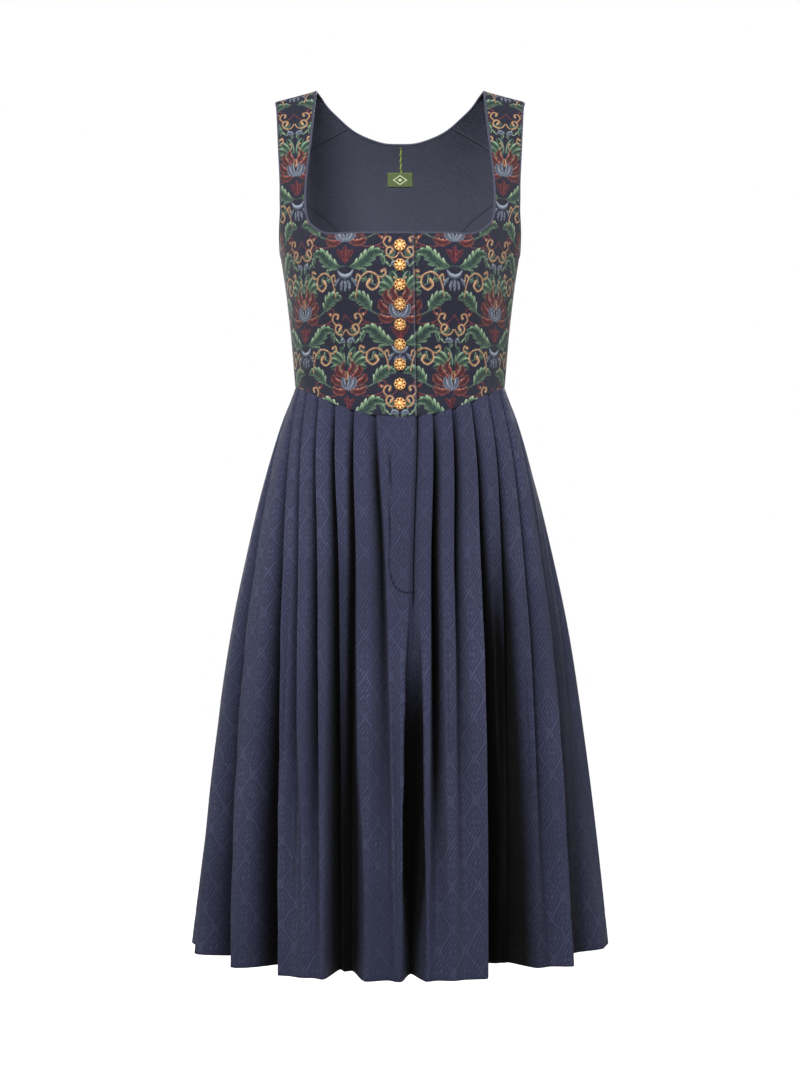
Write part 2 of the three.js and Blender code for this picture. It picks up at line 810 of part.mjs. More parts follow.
function addSkirt() {
  const panels = [
    { name: 'skirt_front_left', from: 0, to: sidePleatLeft },
    { name: 'skirt_back', from: sidePleatLeft, to: sidePleatRight },
    { name: 'skirt_front_right', from: sidePleatRight, to: pleats.length },
  ];
  panels.forEach(({ name, from, to }) => {
    const sheet = skirtSheet(skirtPlaces(from, to), skirtRows);
    trimEdges(sheet, seamGap / 2);
    addMesh(name, wallGeometry(sheet, skirtCloth, 0), clothBlue);
  });
  const frontLength = hemDrop - sideWaistDrop - frontWaistDip;
  const placketRows = skirtRows.filter((down) => down * frontLength < placketDrop);
  placketRows.push(placketDrop / frontLength);
  const lastPleat = skirtPlaces(pleats.length - 1, pleats.length);
  const underlap = skirtSheet(lastPleat.slice(2), placketRows);
  trimEdges(underlap, seamGap);
  const inset = skirtCloth + seamGap;
  addMesh('placket_underlap', wallGeometry(underlap, placketCloth, inset), clothBlue);
}

// A path straight from each point to the next, with its stations at the points
class StitchedPath extends THREE.Curve {
  constructor(points) {
    super();
    this.points = points;
  }

  getPoint(t, target = new THREE.Vector3()) {
    const place = clamp01(t) * (this.points.length - 1);
    const index = Math.min(this.points.length - 2, Math.floor(place + 1e-6));
    return target.lerpVectors(this.points[index], this.points[index + 1], place - index);
  }

  getPointAt(t, target) {
    return this.getPoint(t, target);
  }

  getTangentAt(t, target = new THREE.Vector3()) {
    const half = 0.5 / (this.points.length - 1);
    return target.copy(this.getPoint(t + half)).sub(this.getPoint(t - half)).normalize();
  }
}

function cordGeometry(points) {
  const ring = new THREE.Shape(evenShares(pipingSides).slice(1).map((share) => {
    const angle = share * 2 * Math.PI;
    return new THREE.Vector2(pipingRadius * Math.cos(angle), pipingRadius * Math.sin(angle));
  }));
  const extrudePath = new StitchedPath(points);
  return new THREE.ExtrudeGeometry(ring, { steps: points.length - 1, bevelEnabled: false, extrudePath });
}

// A point beside an edge of the bodice: half way through the cloth and just past its edge
function besideEdge(edge, inner, side, onBack) {
  const at = torsoPoint(edge.turn, edge.along, side, onBack);
  const within = torsoPoint(inner.turn, inner.along, side, onBack);
  const normal = torsoNormal(edge.turn, edge.along, side, onBack);
  const away = at.clone().sub(within);
  away.addScaledVector(normal, -away.dot(normal)).normalize();
  const clear = pipingRadius + pipingGap;
  return at.addScaledVector(away, clear).addScaledVector(normal, -bodiceCloth / 2);
}

function besidePlaces(places, insidePlaces, side, onBack) {
  return places.map((edge, i) => besideEdge(edge, insidePlaces[i], side, onBack));
}

// The neck edge of one half from the front opening to the middle of the back
function halfNeckPoints(side) {
  const startX = side < 0 ? -closingEdgeTop : closingEdgeTop + underlapRamp;
  const front = centreShares.slice(0, -1).map((share) => {
    const x = mix(startX, cornerX, share);
    const along = alongAt(frontNeckDrop(x));
    return { turn: turnAt(x, along), along };
  });
  const frontInside = front.map(({ turn, along }) => ({ turn, along: along + 6 }));
  const strap = evenShares(strapFrontRows).map((t) => neckPlace(frontNeckCurve, t));
  const strapInside = strap.map(({ turn, along }, i) => ({
    turn: turn + 2,
    along: along + (i < 2 ? 8 - 4 * i : 0),
  }));
  const backShares = [
    ...evenShares(strapBackRows).slice(1).map((t) => t * strapBackStart),
    ...evenShares(backNeckColumns).slice(1).map((t) => mix(strapBackStart, 1, t)),
  ];
  const back = backShares.map((t) => neckPlace(backNeckCurve, t));
  const backInside = back.map(({ turn, along }, i) => ({
    turn: turn + 3 * (1 - backShares[i]),
    along: along + 5 * backShares[i],
  }));
  return [
    ...besidePlaces(front, frontInside, side, false),
    ...besidePlaces(strap, strapInside, side, false),
    ...besidePlaces(back, backInside, side, true),
  ];
}

function armholePoints(side) {
  const front = evenShares(strapFrontRows).map((t) => frontArmholeCurve(t));
  const frontInside = front.map(({ turn, along }, i) => ({
    turn: turn - 3,
    along: along + Math.max(0, 9 - 3 * i),
  }));
  const backShares = [
    ...evenShares(strapBackRows).slice(1).map((t) => mix(1, armholeStrapEnd, t)),
    ...evenShares(sideColumns).map((t) => mix(armholePrincess, 0, t)),
  ];
  const back = backShares.map((t) => backArmholeCurve(t));
  const backInside = back.map(({ turn, along }, i) => ({
    turn: turn - 3,
    along: along + Math.max(0, 9 - 3 * (back.length - 1 - i)),
  }));
  const loop = [
    ...besidePlaces(front, frontInside, side, false),
    ...besidePlaces(back, backInside, side, true),
  ];
  loop[0].y -= seamGap;
  loop[loop.length - 1].y += seamGap;
  return loop;
}

function addPiping() {
  const right = halfNeckPoints(-1);
  const left = halfNeckPoints(1).slice(0, -1);
  addMesh('neck_piping', cordGeometry([...right, ...left.reverse()]), clothPiping);
  addMesh('armhole_piping_right', cordGeometry(armholePoints(-1)), clothPiping);
  addMesh('armhole_piping_left', cordGeometry(armholePoints(1)), clothPiping);
}

// A rosette with rounded petals round a raised middle; its back is flat and lies at z = 0
function buttonGeometry() {
  const rings = [
    { reach: 0, height: buttonHeight },
    { reach: 0.3, height: buttonHeight * 0.85 },
    { reach: 0.72, height: buttonHeight * 0.6 },
    { reach: 1, height: buttonHeight * 0.25 },
  ];
  const sides = buttonPetals * 2;
  const corner = (ring, i) => {
    const petal = i % 2 === 0 ? 1 : 0.86;
    const reach = buttonRadius * ring.reach * (ring.reach > 0.8 ? petal : 1);
    const angle = i / sides * 2 * Math.PI;
    return new THREE.Vector3(reach * Math.cos(angle), reach * Math.sin(angle), ring.height);
  };
  const sheet = newSheet();
  const top = rings.map((ring) => evenShares(sides).map((unused, i) => corner(ring, i % sides)));
  const rim = { reach: 1, height: 0 };
  const middle = { reach: 0, height: 0 };
  const bottom = [rim, middle].map((ring) => evenShares(sides).map((unused, i) => corner(ring, i % sides)));
  addGrid(sheet, [...top, ...bottom], true);
  const geometry = new THREE.BufferGeometry();
  const positions = sheet.points.flatMap((point) => [point.x, point.y, point.z]);
  geometry.setAttribute('position', new THREE.Float32BufferAttribute(positions, 3));
  geometry.setIndex(sheet.faces.flat());
  geometry.computeVertexNormals();
  return geometry;
}

function addButtons() {
  const geometry = buttonGeometry();
  for (let i = 0; i < buttonCount; i += 1) {
    const along = alongAt(firstButtonDrop + buttonPitch * i);
    const at = torsoPoint(0, along, 1, false);
    const above = torsoPoint(0, along - 6, 1, false);
    const below = torsoPoint(0, along + 6, 1, false);
    const lean = Math.atan2(below.y - above.y, above.z - below.z);
    const button = addMesh(`button_${i + 1}`, geometry, brass);
    button.rotation.x = Math.PI / 2 + lean;
    button.position.set(0, at.y - buttonGap, at.z);
  }
}

// The tab lies inside the back, below the middle of the neck
function addTab() {
  const sheet = newSheet();
  const columns = evenShares(4).map((t) => mix(-tabWidth / 2, tabWidth / 2, t));
  const rows = evenShares(1).map((t) => alongAt(tabDrop + tabHeight * (1 - t)));
  const points = rows.map((along) => columns.map((x) => torsoVertex(turnAt(x, along), along, 1, true)));
  addGrid(sheet, points, true);
  addMesh('neck_tab', wallGeometry(sheet, tabCloth, bodiceCloth + seamGap + 0.2), wovenTab);
}

addFronts();
addBacks();
addSkirt();
addPiping();
addButtons();
addTab();

export default dress;
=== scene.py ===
import math

import bpy
import numpy as np
from mathutils import Matrix, Vector


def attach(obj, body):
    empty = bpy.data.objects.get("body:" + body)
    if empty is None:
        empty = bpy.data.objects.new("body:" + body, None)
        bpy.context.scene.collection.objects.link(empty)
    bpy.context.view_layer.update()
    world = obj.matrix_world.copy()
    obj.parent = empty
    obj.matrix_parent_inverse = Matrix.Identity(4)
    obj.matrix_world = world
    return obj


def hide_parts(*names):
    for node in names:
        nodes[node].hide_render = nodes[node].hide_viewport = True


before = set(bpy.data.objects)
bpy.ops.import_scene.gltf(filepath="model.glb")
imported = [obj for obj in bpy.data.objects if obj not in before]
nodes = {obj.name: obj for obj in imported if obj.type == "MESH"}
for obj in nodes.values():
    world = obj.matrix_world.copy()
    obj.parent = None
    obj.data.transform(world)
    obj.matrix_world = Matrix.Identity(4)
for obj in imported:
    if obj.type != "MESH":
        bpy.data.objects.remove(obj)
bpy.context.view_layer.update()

mm = 0.001
print("frame loaded:", len(nodes), "solids")

# A sleeveless dirndl, printed bodice over a pleated skirt. Sizes are in millimetres, as in the solids,
# until a mesh is made. The front looks to -Y, the wearer's left is +X, the shoulders carry the origin.
dress = {
    "bodiceCloth": 2.0,
    "skirtCloth": 1.3,
    "waistGap": 0.6,
    "hemDrop": 1065,
    "sideWaistDrop": 372,
    "frontWaistDip": 41,
    "backWaistDip": 8,
    "waistDipPower": 1.15,
    "torsoRoundness": 2.2,
    "skirtRoundness": 2.0,
    "strapInnerX": 106,
    "shoulderSlope": 0.36,
    "shoulderReach": 90,
    "bustX": 72,
    "bustDrop": 238,
    "bustWide": 46,
    "bustTall": 58,
    "bustFullness": 10,
    "closingEdgeTop": 16.5,
    "closingEdgeWaist": 20.5,
    "neckDrop": 194,
    "neckCornerStart": 80,
    "cornerPower": 2.2,
    "strapSeamX": 67,
    "strapSeamAlong": 138,
}
torso = {
    "along": [0, 18, 40, 75, 120, 170, 220, 262, 300, 350, 395, 425, 480],
    "drop": [0, 4, 17, 44, 82, 127, 174, 215, 253, 303, 345, 373, 427],
    "halfWidth": [172, 171.8, 171, 170, 167.5, 163, 155.5, 148, 142.3, 136.6, 133, 131, 131],
    "front": [0, 17, 34, 56, 77, 97, 111, 118, 117, 107, 99, 95, 95],
    "back": [0, 18, 36, 60, 79, 92, 99, 103, 101, 93, 86, 82, 82],
}
edges = {
    "frontArmhole": [(90, 256), (82, 248), (73, 225), (65.3, 195), (62.3, 160), (61.3, 120), (61, 75),
                     (61.5, 40), (62.3, 0)],
    "backArmhole": [(90, 256), (83, 247), (75, 222), (69.5, 190), (66, 157), (64, 138), (62.5, 110), (62, 75),
                    (62, 40), (62.3, 0)],
    "princessSeam": [(66, 157), (52, 168), (40, 184), (30, 205), (23.7, 247), (20.3, 307), (18.3, 368),
                     (17.5, 432)],
    "frontNeck": [(112, 223), (115.5, 211), (116.5, 180), (114.5, 150), (111.5, 115), (108.5, 75), (106.5, 35),
                  (106, 0)],
    "backNeck": [(106, 0), (103, 13), (97, 30), (88, 44), (77, 56), (67, 66), (55, 75), (41, 82), (20, 89),
                 (0, 90)],
}


def slopesOf(keys, values):
    steps = np.diff(keys)
    chords = np.diff(values) / steps
    before, after = chords[:-1], chords[1:]
    weightBefore, weightAfter = 2 * steps[1:] + steps[:-1], steps[1:] + 2 * steps[:-1]
    rising = before * after > 0
    inner = np.zeros(len(before))
    total = (weightBefore + weightAfter)[rising]
    inner[rising] = total / (weightBefore[rising] / before[rising] + weightAfter[rising] / after[rising])
    return np.concatenate([chords[:1], inner, chords[-1:]])


def tableAt(table, key, column, place):
    # a smooth curve through a table's rows that never overshoots them
    keys, values = np.array(table[key], float), np.array(table[column], float)
    slopes = slopesOf(keys, values)
    place = np.clip(place, keys[0], keys[-1])
    i = np.clip(np.searchsorted(keys, place, side="left") - 1, 0, len(keys) - 2)
    step = keys[i + 1] - keys[i]
    t = (place - keys[i]) / step
    rest = 1 - t
    bends = slopes[i] * step * t * rest * rest - slopes[i + 1] * step * t * t * rest
    return values[i] * rest * rest * (1 + 2 * t) + values[i + 1] * t * t * (3 - 2 * t) + bends


def mixed(a, b, share):
    return a + (b - a) * share


def eased(low, high, value):
    t = np.clip((value - low) / (high - low), 0, 1)
    return t * t * (3 - 2 * t)


def srgb(red, green, blue):
    return tuple((c / 255) ** 2.2 for c in (red, green, blue)) + (1.0,)


def torsoAt(column, along):
    return tableAt(torso, "along", column, np.abs(along))


longest = torso["along"][-1]
alongSteps = np.linspace(0, longest, 10 * longest + 1)
dropSteps = torsoAt("drop", alongSteps)


def alongAt(drop):
    return np.interp(drop, dropSteps, alongSteps)


def turnAt(x, along):
    share = np.minimum(1, np.abs(x) / torsoAt("halfWidth", along))
    return np.sign(x) * np.degrees(np.arcsin(share ** (dress["torsoRoundness"] / 2)))


def torsoPoint(turn, along, side, onBack):
    angle = np.radians(turn)
    power = 2 / dress["torsoRoundness"]
    across = np.sign(angle) * np.abs(np.sin(angle)) ** power
    outward = np.maximum(0, np.cos(angle)) ** power
    x = torsoAt("halfWidth", along) * across
    drop = torsoAt("drop", along)
    sideways = (np.abs(x) - dress["bustX"]) / dress["bustWide"]
    upDown = (drop - dress["bustDrop"]) / dress["bustTall"]
    bust = dress["bustFullness"] * np.exp(-sideways**2 - upDown**2) * np.sqrt(outward)
    depth = np.where(onBack, torsoAt("back", along) * outward, torsoAt("front", along) * outward + bust)
    fade = np.clip(1 - np.abs(along) / dress["shoulderReach"], 0, 1) ** 2
    slope = dress["shoulderSlope"] * np.maximum(0, np.abs(x) - dress["strapInnerX"]) * fade
    return np.stack([side * x, np.where(onBack, depth, -depth), -drop - slope], axis=-1)


def torsoNormal(turn, along, side, onBack):
    step = 0.5
    path = np.where(onBack, along, -along)

    def at(turned, way):
        past = turned > 90
        there = np.where(past, -way, way)
        return torsoPoint(np.where(past, 180 - turned, turned), np.abs(there), side, there > 0)

    normal = side * np.cross(at(turn + step, path) - at(turn - step, path),
                             at(turn, path + step) - at(turn, path - step))
    return normal / np.linalg.norm(normal, axis=-1, keepdims=True)


def waistAlong(turn, onBack):
    across = np.abs(np.sin(np.radians(turn))) ** (4 / dress["torsoRoundness"])
    dip = dress["backWaistDip"] if onBack else dress["frontWaistDip"]
    return alongAt(dress["sideWaistDrop"] + dip * np.maximum(0, 1 - across) ** dress["waistDipPower"])


def closingEdgeX(along):
    waist = dress["sideWaistDrop"] + dress["frontWaistDip"]
    share = np.clip((torsoAt("drop", along) - dress["neckDrop"]) / (waist - dress["neckDrop"]), 0, 1)
    return mixed(dress["closingEdgeTop"], dress["closingEdgeWaist"], share)


lineSteps = 201


def smoothLine(rows, count=lineSteps):
    # a soft line through a few points, evenly stepped along its length
    points = np.array(rows, float)
    padded = np.vstack([2 * points[0] - points[1], points, 2 * points[-1] - points[-2]])
    places = np.linspace(0, len(points) - 1, lineSteps)
    i = np.minimum(places.astype(int), len(points) - 2)
    t = (places - i)[:, None]
    p0, p1, p2, p3 = (padded[i + k] for k in range(4))
    d0, d1, d2 = (np.sum((b - a)**2, axis=1)[:, None]**0.25 for a, b in ((p0, p1), (p1, p2), (p2, p3)))
    m1 = ((p1 - p0) / d0 - (p2 - p0) / (d0 + d1) + (p2 - p1) / d1) * d1
    m2 = ((p2 - p1) / d1 - (p3 - p1) / (d1 + d2) + (p3 - p2) / d2) * d1
    line = p1 + m1 * t + (3 * (p2 - p1) - 2 * m1 - m2) * t**2 + (2 * (p1 - p2) + m1 + m2) * t**3
    steps = np.linalg.norm(np.diff(line, axis=0), axis=1)
    run = np.concatenate([[0], np.cumsum(steps)]) / steps.sum()
    even = np.linspace(0, 1, count)
    return np.column_stack([np.interp(even, run, line[:, k]) for k in range(points.shape[1])])


edgeLines = {name: smoothLine(rows) for name, rows in edges.items()}


def edgeAt(name, t):
    line = edgeLines[name]
    steps = np.linspace(0, 1, len(line))
    first, along = (np.interp(np.clip(t, 0, 1), steps, line[:, k]) for k in (0, 1))
    return (turnAt(first, along) if name.endswith("Neck") else first), along


def shareWhere(name, column, value):
    values = edgeLines[name][:, column]
    order = 1 if values[-1] > values[0] else -1
    return np.interp(value, values[::order], np.linspace(0, 1, len(values))[::order])


cornerX, cornerAlong = edges["frontNeck"][0]
armholeFoot = edges["frontArmhole"][0][1]
cornerDrop = float(torsoAt("drop", cornerAlong))
cornerTurn = float(turnAt(cornerX, cornerAlong))
underStrap = {"turn": 52, "lean": 1.3}
strapBackStart = shareWhere("backNeck", 0, dress["strapSeamX"])
armholeStrapEnd = shareWhere("backArmhole", 1, dress["strapSeamAlong"])
armholePrincess = shareWhere("backArmhole", 1, edges["princessSeam"][0][1])


def frontNeckDrop(x):
    rise = np.clip((np.abs(x) - dress["neckCornerStart"]) / (cornerX - dress["neckCornerStart"]), 0, 1)
    return dress["neckDrop"] - (dress["neckDrop"] - cornerDrop) * rise ** dress["cornerPower"]


def sharedLine(v):
    turn = mixed(underStrap["turn"], cornerTurn, v ** underStrap["lean"])
    return turn, mixed(waistAlong(underStrap["turn"], False), cornerAlong, v)


def coons(bottom, top, start, end, columns, rows):
    # a patch of turn and along between four edge lines
    u, v = np.meshgrid(np.linspace(0, 1, columns + 1), np.linspace(0, 1, rows + 1))
    low, high, first, last = bottom(u), top(u), start(v), end(v)
    corners = [bottom(0.0), bottom(1.0), top(0.0), top(1.0)]
    made = []
    for k in (0, 1):
        a, b, c, d = (float(corner[k]) for corner in corners)
        ruled = mixed(mixed(a, b, u), mixed(c, d, u), v)
        made.append(mixed(low[k], high[k], v) + mixed(first[k], last[k], u) - ruled)
    return made


# The print: one repeat, charted as leaves and strokes, drawn on one side of the middle only
printRepeat = {"across": 132.0, "up": 182.0, "dotsPerMm": 4, "ground": (31, 31, 44), "fade": 0.2}
inks = {
    "leaf": {"deep": (26, 40, 38), "mid": (62, 90, 66), "light": (122, 152, 112), "rim": (172, 196, 152)},
    "shade": {"deep": (24, 38, 38), "mid": (50, 74, 58), "light": (98, 130, 100), "rim": (138, 166, 130)},
    "brick": {"deep": (42, 22, 26), "mid": (104, 42, 36), "light": (154, 78, 60), "rim": (206, 152, 124)},
    "wine": {"deep": (46, 22, 30), "mid": (88, 32, 36), "light": (126, 54, 50), "rim": (150, 80, 70)},
    "slate": {"deep": (46, 52, 66), "mid": (84, 94, 110), "light": (124, 134, 150), "rim": (168, 176, 188)},
    "tan": {"deep": (70, 48, 40), "mid": (134, 94, 60), "light": (174, 130, 86), "rim": (206, 168, 122)},
}


def dotsNear(path, reach):
    # dots of the chart near a path: how far along it they are, and how far to its side
    line = smoothLine(path, 8 * len(path))
    dots = printRepeat["dotsPerMm"]
    low = np.floor((line.min(axis=0) - reach) * dots).astype(int)
    high = np.ceil((line.max(axis=0) + reach) * dots).astype(int)
    columns, rows = np.arange(low[0], high[0]), np.arange(low[1], high[1])
    u, v = np.meshgrid((columns + 0.5) / dots, (rows + 0.5) / dots)
    spot = np.stack([u.ravel(), v.ravel()], axis=1)[:, None, :]
    start, step = line[:-1], np.diff(line, axis=0)
    length = np.linalg.norm(step, axis=1)
    share = np.clip(np.sum((spot - start) * step, axis=2) / length**2, 0, 1)
    gap = spot - start - share[:, :, None] * step
    distance = np.linalg.norm(gap, axis=2)
    nearest = distance.argmin(axis=1)
    pick = np.arange(len(nearest))
    run = np.concatenate([[0], np.cumsum(length)])
    t = (run[nearest] + share[pick, nearest] * length[nearest]) / run[-1]
    way, off = step[nearest], gap[pick, nearest]
    side = np.where(way[:, 0] * off[:, 1] < way[:, 1] * off[:, 0], -1, 1)
    return rows, columns, t.reshape(u.shape), (distance[pick, nearest] * side).reshape(u.shape), run[-1]


def inked(colour, ink, share):
    share = np.asarray(share)[..., None]
    return colour * (1 - share) + np.array(ink, float) * share


def stamp(chart, rows, columns, cover, colour):
    # mirrored about the middle, and again half a repeat on
    height, width = chart.shape[:2]
    for drop in (0, 1):
        for across in (columns, -columns - 1):
            at = np.ix_((rows + drop * height // 2) % height, (across + drop * width // 2) % width)
            chart[at] = chart[at] * (1 - cover[..., None]) + colour * cover[..., None]


def paintLeaf(chart, path, halfWidth, ink, lobes=0, cut=0.45, widest=0.42, slant=0.9, bare=0.0, plump=0.8):
    rows, columns, t, d, length = dotsNear(path, halfWidth * 1.25)
    across = np.abs(d)
    body = np.clip((t - bare) / (1 - bare), 0, 1)
    swell = np.clip(np.where(body < widest, body / widest, (1 - body) / (1 - widest)), 0, 1)
    edge = halfWidth * np.sin(swell * math.pi / 2) ** plump
    tooth = np.ones_like(body)
    if lobes:
        vein = (body - slant * across / length) * lobes
        tooth = np.sin(np.pi * (vein - np.floor(vein))) ** 0.7
        edge = edge * (1 - cut * (1 - tooth))
    if bare:
        edge = np.maximum(edge, 0.45 * (1 - eased(bare, bare + 0.08, t)))
    near = across / np.maximum(edge, 0.01)
    lit = 0.5 + 0.5 * np.tanh(d / halfWidth * 2.5)
    colour = np.ones(t.shape + (3,)) * np.array(ink["deep"], float)
    colour = inked(colour, ink["mid"], eased(0.05, 0.55, near) * (0.55 + 0.45 * lit))
    colour = inked(colour, ink["light"], eased(0.40, 0.88, near) * (0.35 + 0.65 * lit) * (0.45 + 0.55 * tooth))
    colour = inked(colour, ink["rim"], eased(0.84, 0.99, near) * (0.25 + 0.75 * lit) * 0.8)
    rib = np.clip(1 - across / 0.55, 0, 1) * eased(0.02, 0.2, t)
    colour = inked(colour, ink["light"], rib * (1 - body) * 0.8)
    colour = inked(colour, ink["deep"], (1 - tooth)**3 * eased(0.2, 0.8, near) * 0.7)
    stamp(chart, rows, columns, np.clip((edge - across) * printRepeat["dotsPerMm"] + 0.5, 0, 1), colour)


def paintScroll(chart, path, start, end, ink, ball=0.0, moon=False, hatch=1.4):
    rows, columns, t, d, length = dotsNear(path, max(start, end, ball) * 1.4)
    width = mixed(start, end, t) * eased(-0.01, 0.04, t)
    if moon:
        width = start * np.sin(np.pi * np.clip(t, 0.02, 0.98)) ** 0.7
    if ball:
        width = width + (ball - end) * eased(0.9, 1.0, t)
    across = np.abs(d)
    over = d / np.maximum(width, 0.01)
    strokes = 0.5 + 0.5 * np.sin((t * length + 0.7 * across) * 2 * np.pi / hatch)
    colour = np.ones(t.shape + (3,)) * np.array(ink["deep"], float)
    colour = inked(colour, ink["mid"], eased(-1.0, -0.2, over))
    colour = inked(colour, ink["light"], eased(-0.35, 0.45, over) * 0.85)
    colour = inked(colour, ink["rim"], eased(0.3, 0.9, over) * (0.35 + 0.5 * strokes))
    colour = inked(colour, ink["deep"], (1 - strokes) * (1 - eased(-0.8, 0.2, over)) * 0.35)
    stamp(chart, rows, columns, np.clip((width - across) * printRepeat["dotsPerMm"] + 0.5, 0, 1), colour)


def paintPrint():
    dots = printRepeat["dotsPerMm"]
    chart = np.ones((int(printRepeat["up"] * dots), int(printRepeat["across"] * dots), 3))
    chart = chart * np.array(printRepeat["ground"], float)
    leaf, shade, brick, wine, slate, tan = (inks[k] for k in ("leaf", "shade", "brick", "wine", "slate", "tan"))

    # vines and stalks first, so that the leaves lie over them
    paintScroll(chart, [(8, -17), (22, -23), (38, -22), (49, -14), (48, -5), (41, -5), (41, -11), (45, -12)],
                0.5, 0.8, wine, ball=2.0)
    paintScroll(chart, [(45, -13), (44, -10)], 1.5, 0.6, tan)
    paintScroll(chart, [(38, -22), (50, -25), (60, -20), (66, -12)], 0.6, 0.5, wine)
    paintScroll(chart, [(30, -34), (42, -33), (53, -36), (58, -42), (54, -46), (51, -42)],
                0.5, 0.6, leaf, ball=1.5)
    paintScroll(chart, [(18, 20), (30, 22), (40, 28), (43, 37)], 0.5, 0.4, leaf)
    sprigs = [(42, -33, 46, -39, 46, -46, 2.8), (50, -35, 56, -33, 61, -28, 2.7), (40, 28, 45, 28, 50, 31, 2.3),
              (42, 33, 42, 38, 46, 43, 2.4), (33, 23, 35, 29, 34, 35, 2.1), (59, -43, 62, -48, 61, -54, 2.2)]
    for x0, y0, x1, y1, x2, y2, wide in sprigs:
        paintLeaf(chart, [(x0, y0), (x1, y1), (x2, y2)], wide, leaf, lobes=3, cut=0.3)

    # fan of rounded lobes above the flower
    paintLeaf(chart, [(6, 10), (16, 13), (26, 13)], 3.9, shade, widest=0.66, plump=0.6)
    paintLeaf(chart, [(6, 12), (16, 20), (28, 24)], 4.3, leaf, widest=0.68, plump=0.6)
    paintLeaf(chart, [(5, 14), (13, 26), (23, 34)], 4.3, leaf, widest=0.68, plump=0.6)
    paintLeaf(chart, [(2, 15), (6, 28), (11, 39)], 3.9, shade, widest=0.68, plump=0.6)

    # flower: ragged petals round a small cup
    petal = {"lobes": 4, "cut": 0.34, "widest": 0.6, "plump": 0.6}
    paintLeaf(chart, [(3, -11), (11, -18), (20, -17), (26, -11)], 4.5, brick, **petal)
    paintLeaf(chart, [(5, -8), (14, -8), (22, -3), (24, 5)], 4.7, brick, **petal)
    paintLeaf(chart, [(4, -3), (11, 2), (17, 9), (16, 17)], 4.6, brick, **petal)
    paintLeaf(chart, [(2, 0), (5, 8), (9, 14), (6, 21)], 4.0, brick, **petal)
    paintLeaf(chart, [(0, -16), (7, -13), (10.5, -7), (10, 1)], 2.9, slate, widest=0.6, plump=0.6)
    paintLeaf(chart, [(0, -15), (3.4, -9), (5, -3), (3.6, 3)], 2.4, slate, widest=0.6, plump=0.6)
    paintLeaf(chart, [(0, -4), (0.4, 2), (0, 9)], 2.6, tan, widest=0.5, plump=0.7)
    paintLeaf(chart, [(0, -1), (0.2, 2), (0, 5)], 1.2, brick, widest=0.5)

    # plume below the flower, leaf beside it and the large one from the node below
    paintLeaf(chart, [(0.5, -43), (5, -33), (11, -26)], 3.3, wine, lobes=4, cut=0.45, widest=0.55)
    paintLeaf(chart, [(0, -44), (1.5, -32), (0, -21)], 3.4, wine, lobes=4, cut=0.45, widest=0.5)
    paintLeaf(chart, [(22, -14), (34, -8), (42, 3), (51, 9), (62, 6)], 8.4, leaf, lobes=7, cut=0.72,
              widest=0.5, slant=1.5, bare=0.26)
    paintLeaf(chart, [(1, -47), (13, -46), (25, -39), (34, -30), (47, -30)], 9.4, leaf, lobes=6, cut=0.66,
              widest=0.5, slant=1.3, bare=0.08)

    # scrolls
    paintScroll(chart, [(13, -84), (15, -72), (19, -61), (28, -54), (38, -58), (40, -68), (33, -74), (27, -69),
                        (30, -64)], 0.7, 1.5, tan, ball=2.5)
    paintScroll(chart, [(20, -60), (15, -56), (13, -63)], 1.1, 0.7, tan, ball=1.5)
    paintScroll(chart, [(36, -56), (43, -60), (49, -56), (48, -50), (44, -52)], 0.7, 1.2, tan, ball=2.0)
    paintScroll(chart, [(0, 62), (5, 55), (13, 55), (17, 62), (13, 68), (8, 65), (10, 61)],
                0.9, 1.3, tan, ball=2.2)
    paintScroll(chart, [(15, 66), (20, 73), (17, 80), (11, 79), (12, 75)], 0.9, 1.1, tan, ball=1.9)
    paintScroll(chart, [(58, -70), (62, -64), (60, -60)], 0.6, 0.6, tan, ball=1.6)

    # crescent with its strokes, and small petals over the fan
    paintScroll(chart, [(-10, -51), (-6, -57), (0, -59), (6, -57), (10, -51)], 2.7, 0, slate, moon=True)
    paintLeaf(chart, [(3, -63), (5, -69), (5, -76)], 1.5, slate)
    paintLeaf(chart, [(7, -60), (11, -65), (14, -71)], 1.5, slate)
    paintLeaf(chart, [(0, -62), (0.1, -69), (0, -77)], 1.4, slate)
    paintLeaf(chart, [(1, 45), (6, 48), (11, 46)], 2.7, slate, widest=0.6)
    # dyes a little faded by wear
    grey = chart @ np.array([0.3, 0.59, 0.11])
    chart = mixed(chart, grey[..., None], printRepeat["fade"])
    return (np.clip(chart, 0, 255) / 255) ** 2.2


printChart = paintPrint()
print("print charted:", printChart.shape)


def printAt(across, up):
    dots = printRepeat["dotsPerMm"]
    height, width = printChart.shape[:2]
    x, y = across * dots - 0.5, up * dots - 0.5
    column, row = np.floor(x).astype(int), np.floor(y).astype(int)
    fx, fy = (x - column)[:, None], (y - row)[:, None]
    c0, c1, r0, r1 = column % width, (column + 1) % width, row % height, (row + 1) % height
    low = printChart[r0, c0] * (1 - fx) + printChart[r0, c1] * fx
    return low * (1 - fy) + (printChart[r1, c0] * (1 - fx) + printChart[r1, c1] * fx) * fy


# How far round from the middle each turn is, level by level
levelSteps, turnSteps = np.linspace(0, longest, longest // 3 + 1), np.linspace(0, 90, 91)
turnGrid, levelGrid = np.meshgrid(turnSteps, levelSteps)
roundFront, roundBack = (
    np.pad(np.cumsum(np.linalg.norm(np.diff(torsoPoint(turnGrid, levelGrid, 1, back), axis=1), axis=2), axis=1),
           ((0, 0), (1, 0))) for back in (False, True)
)


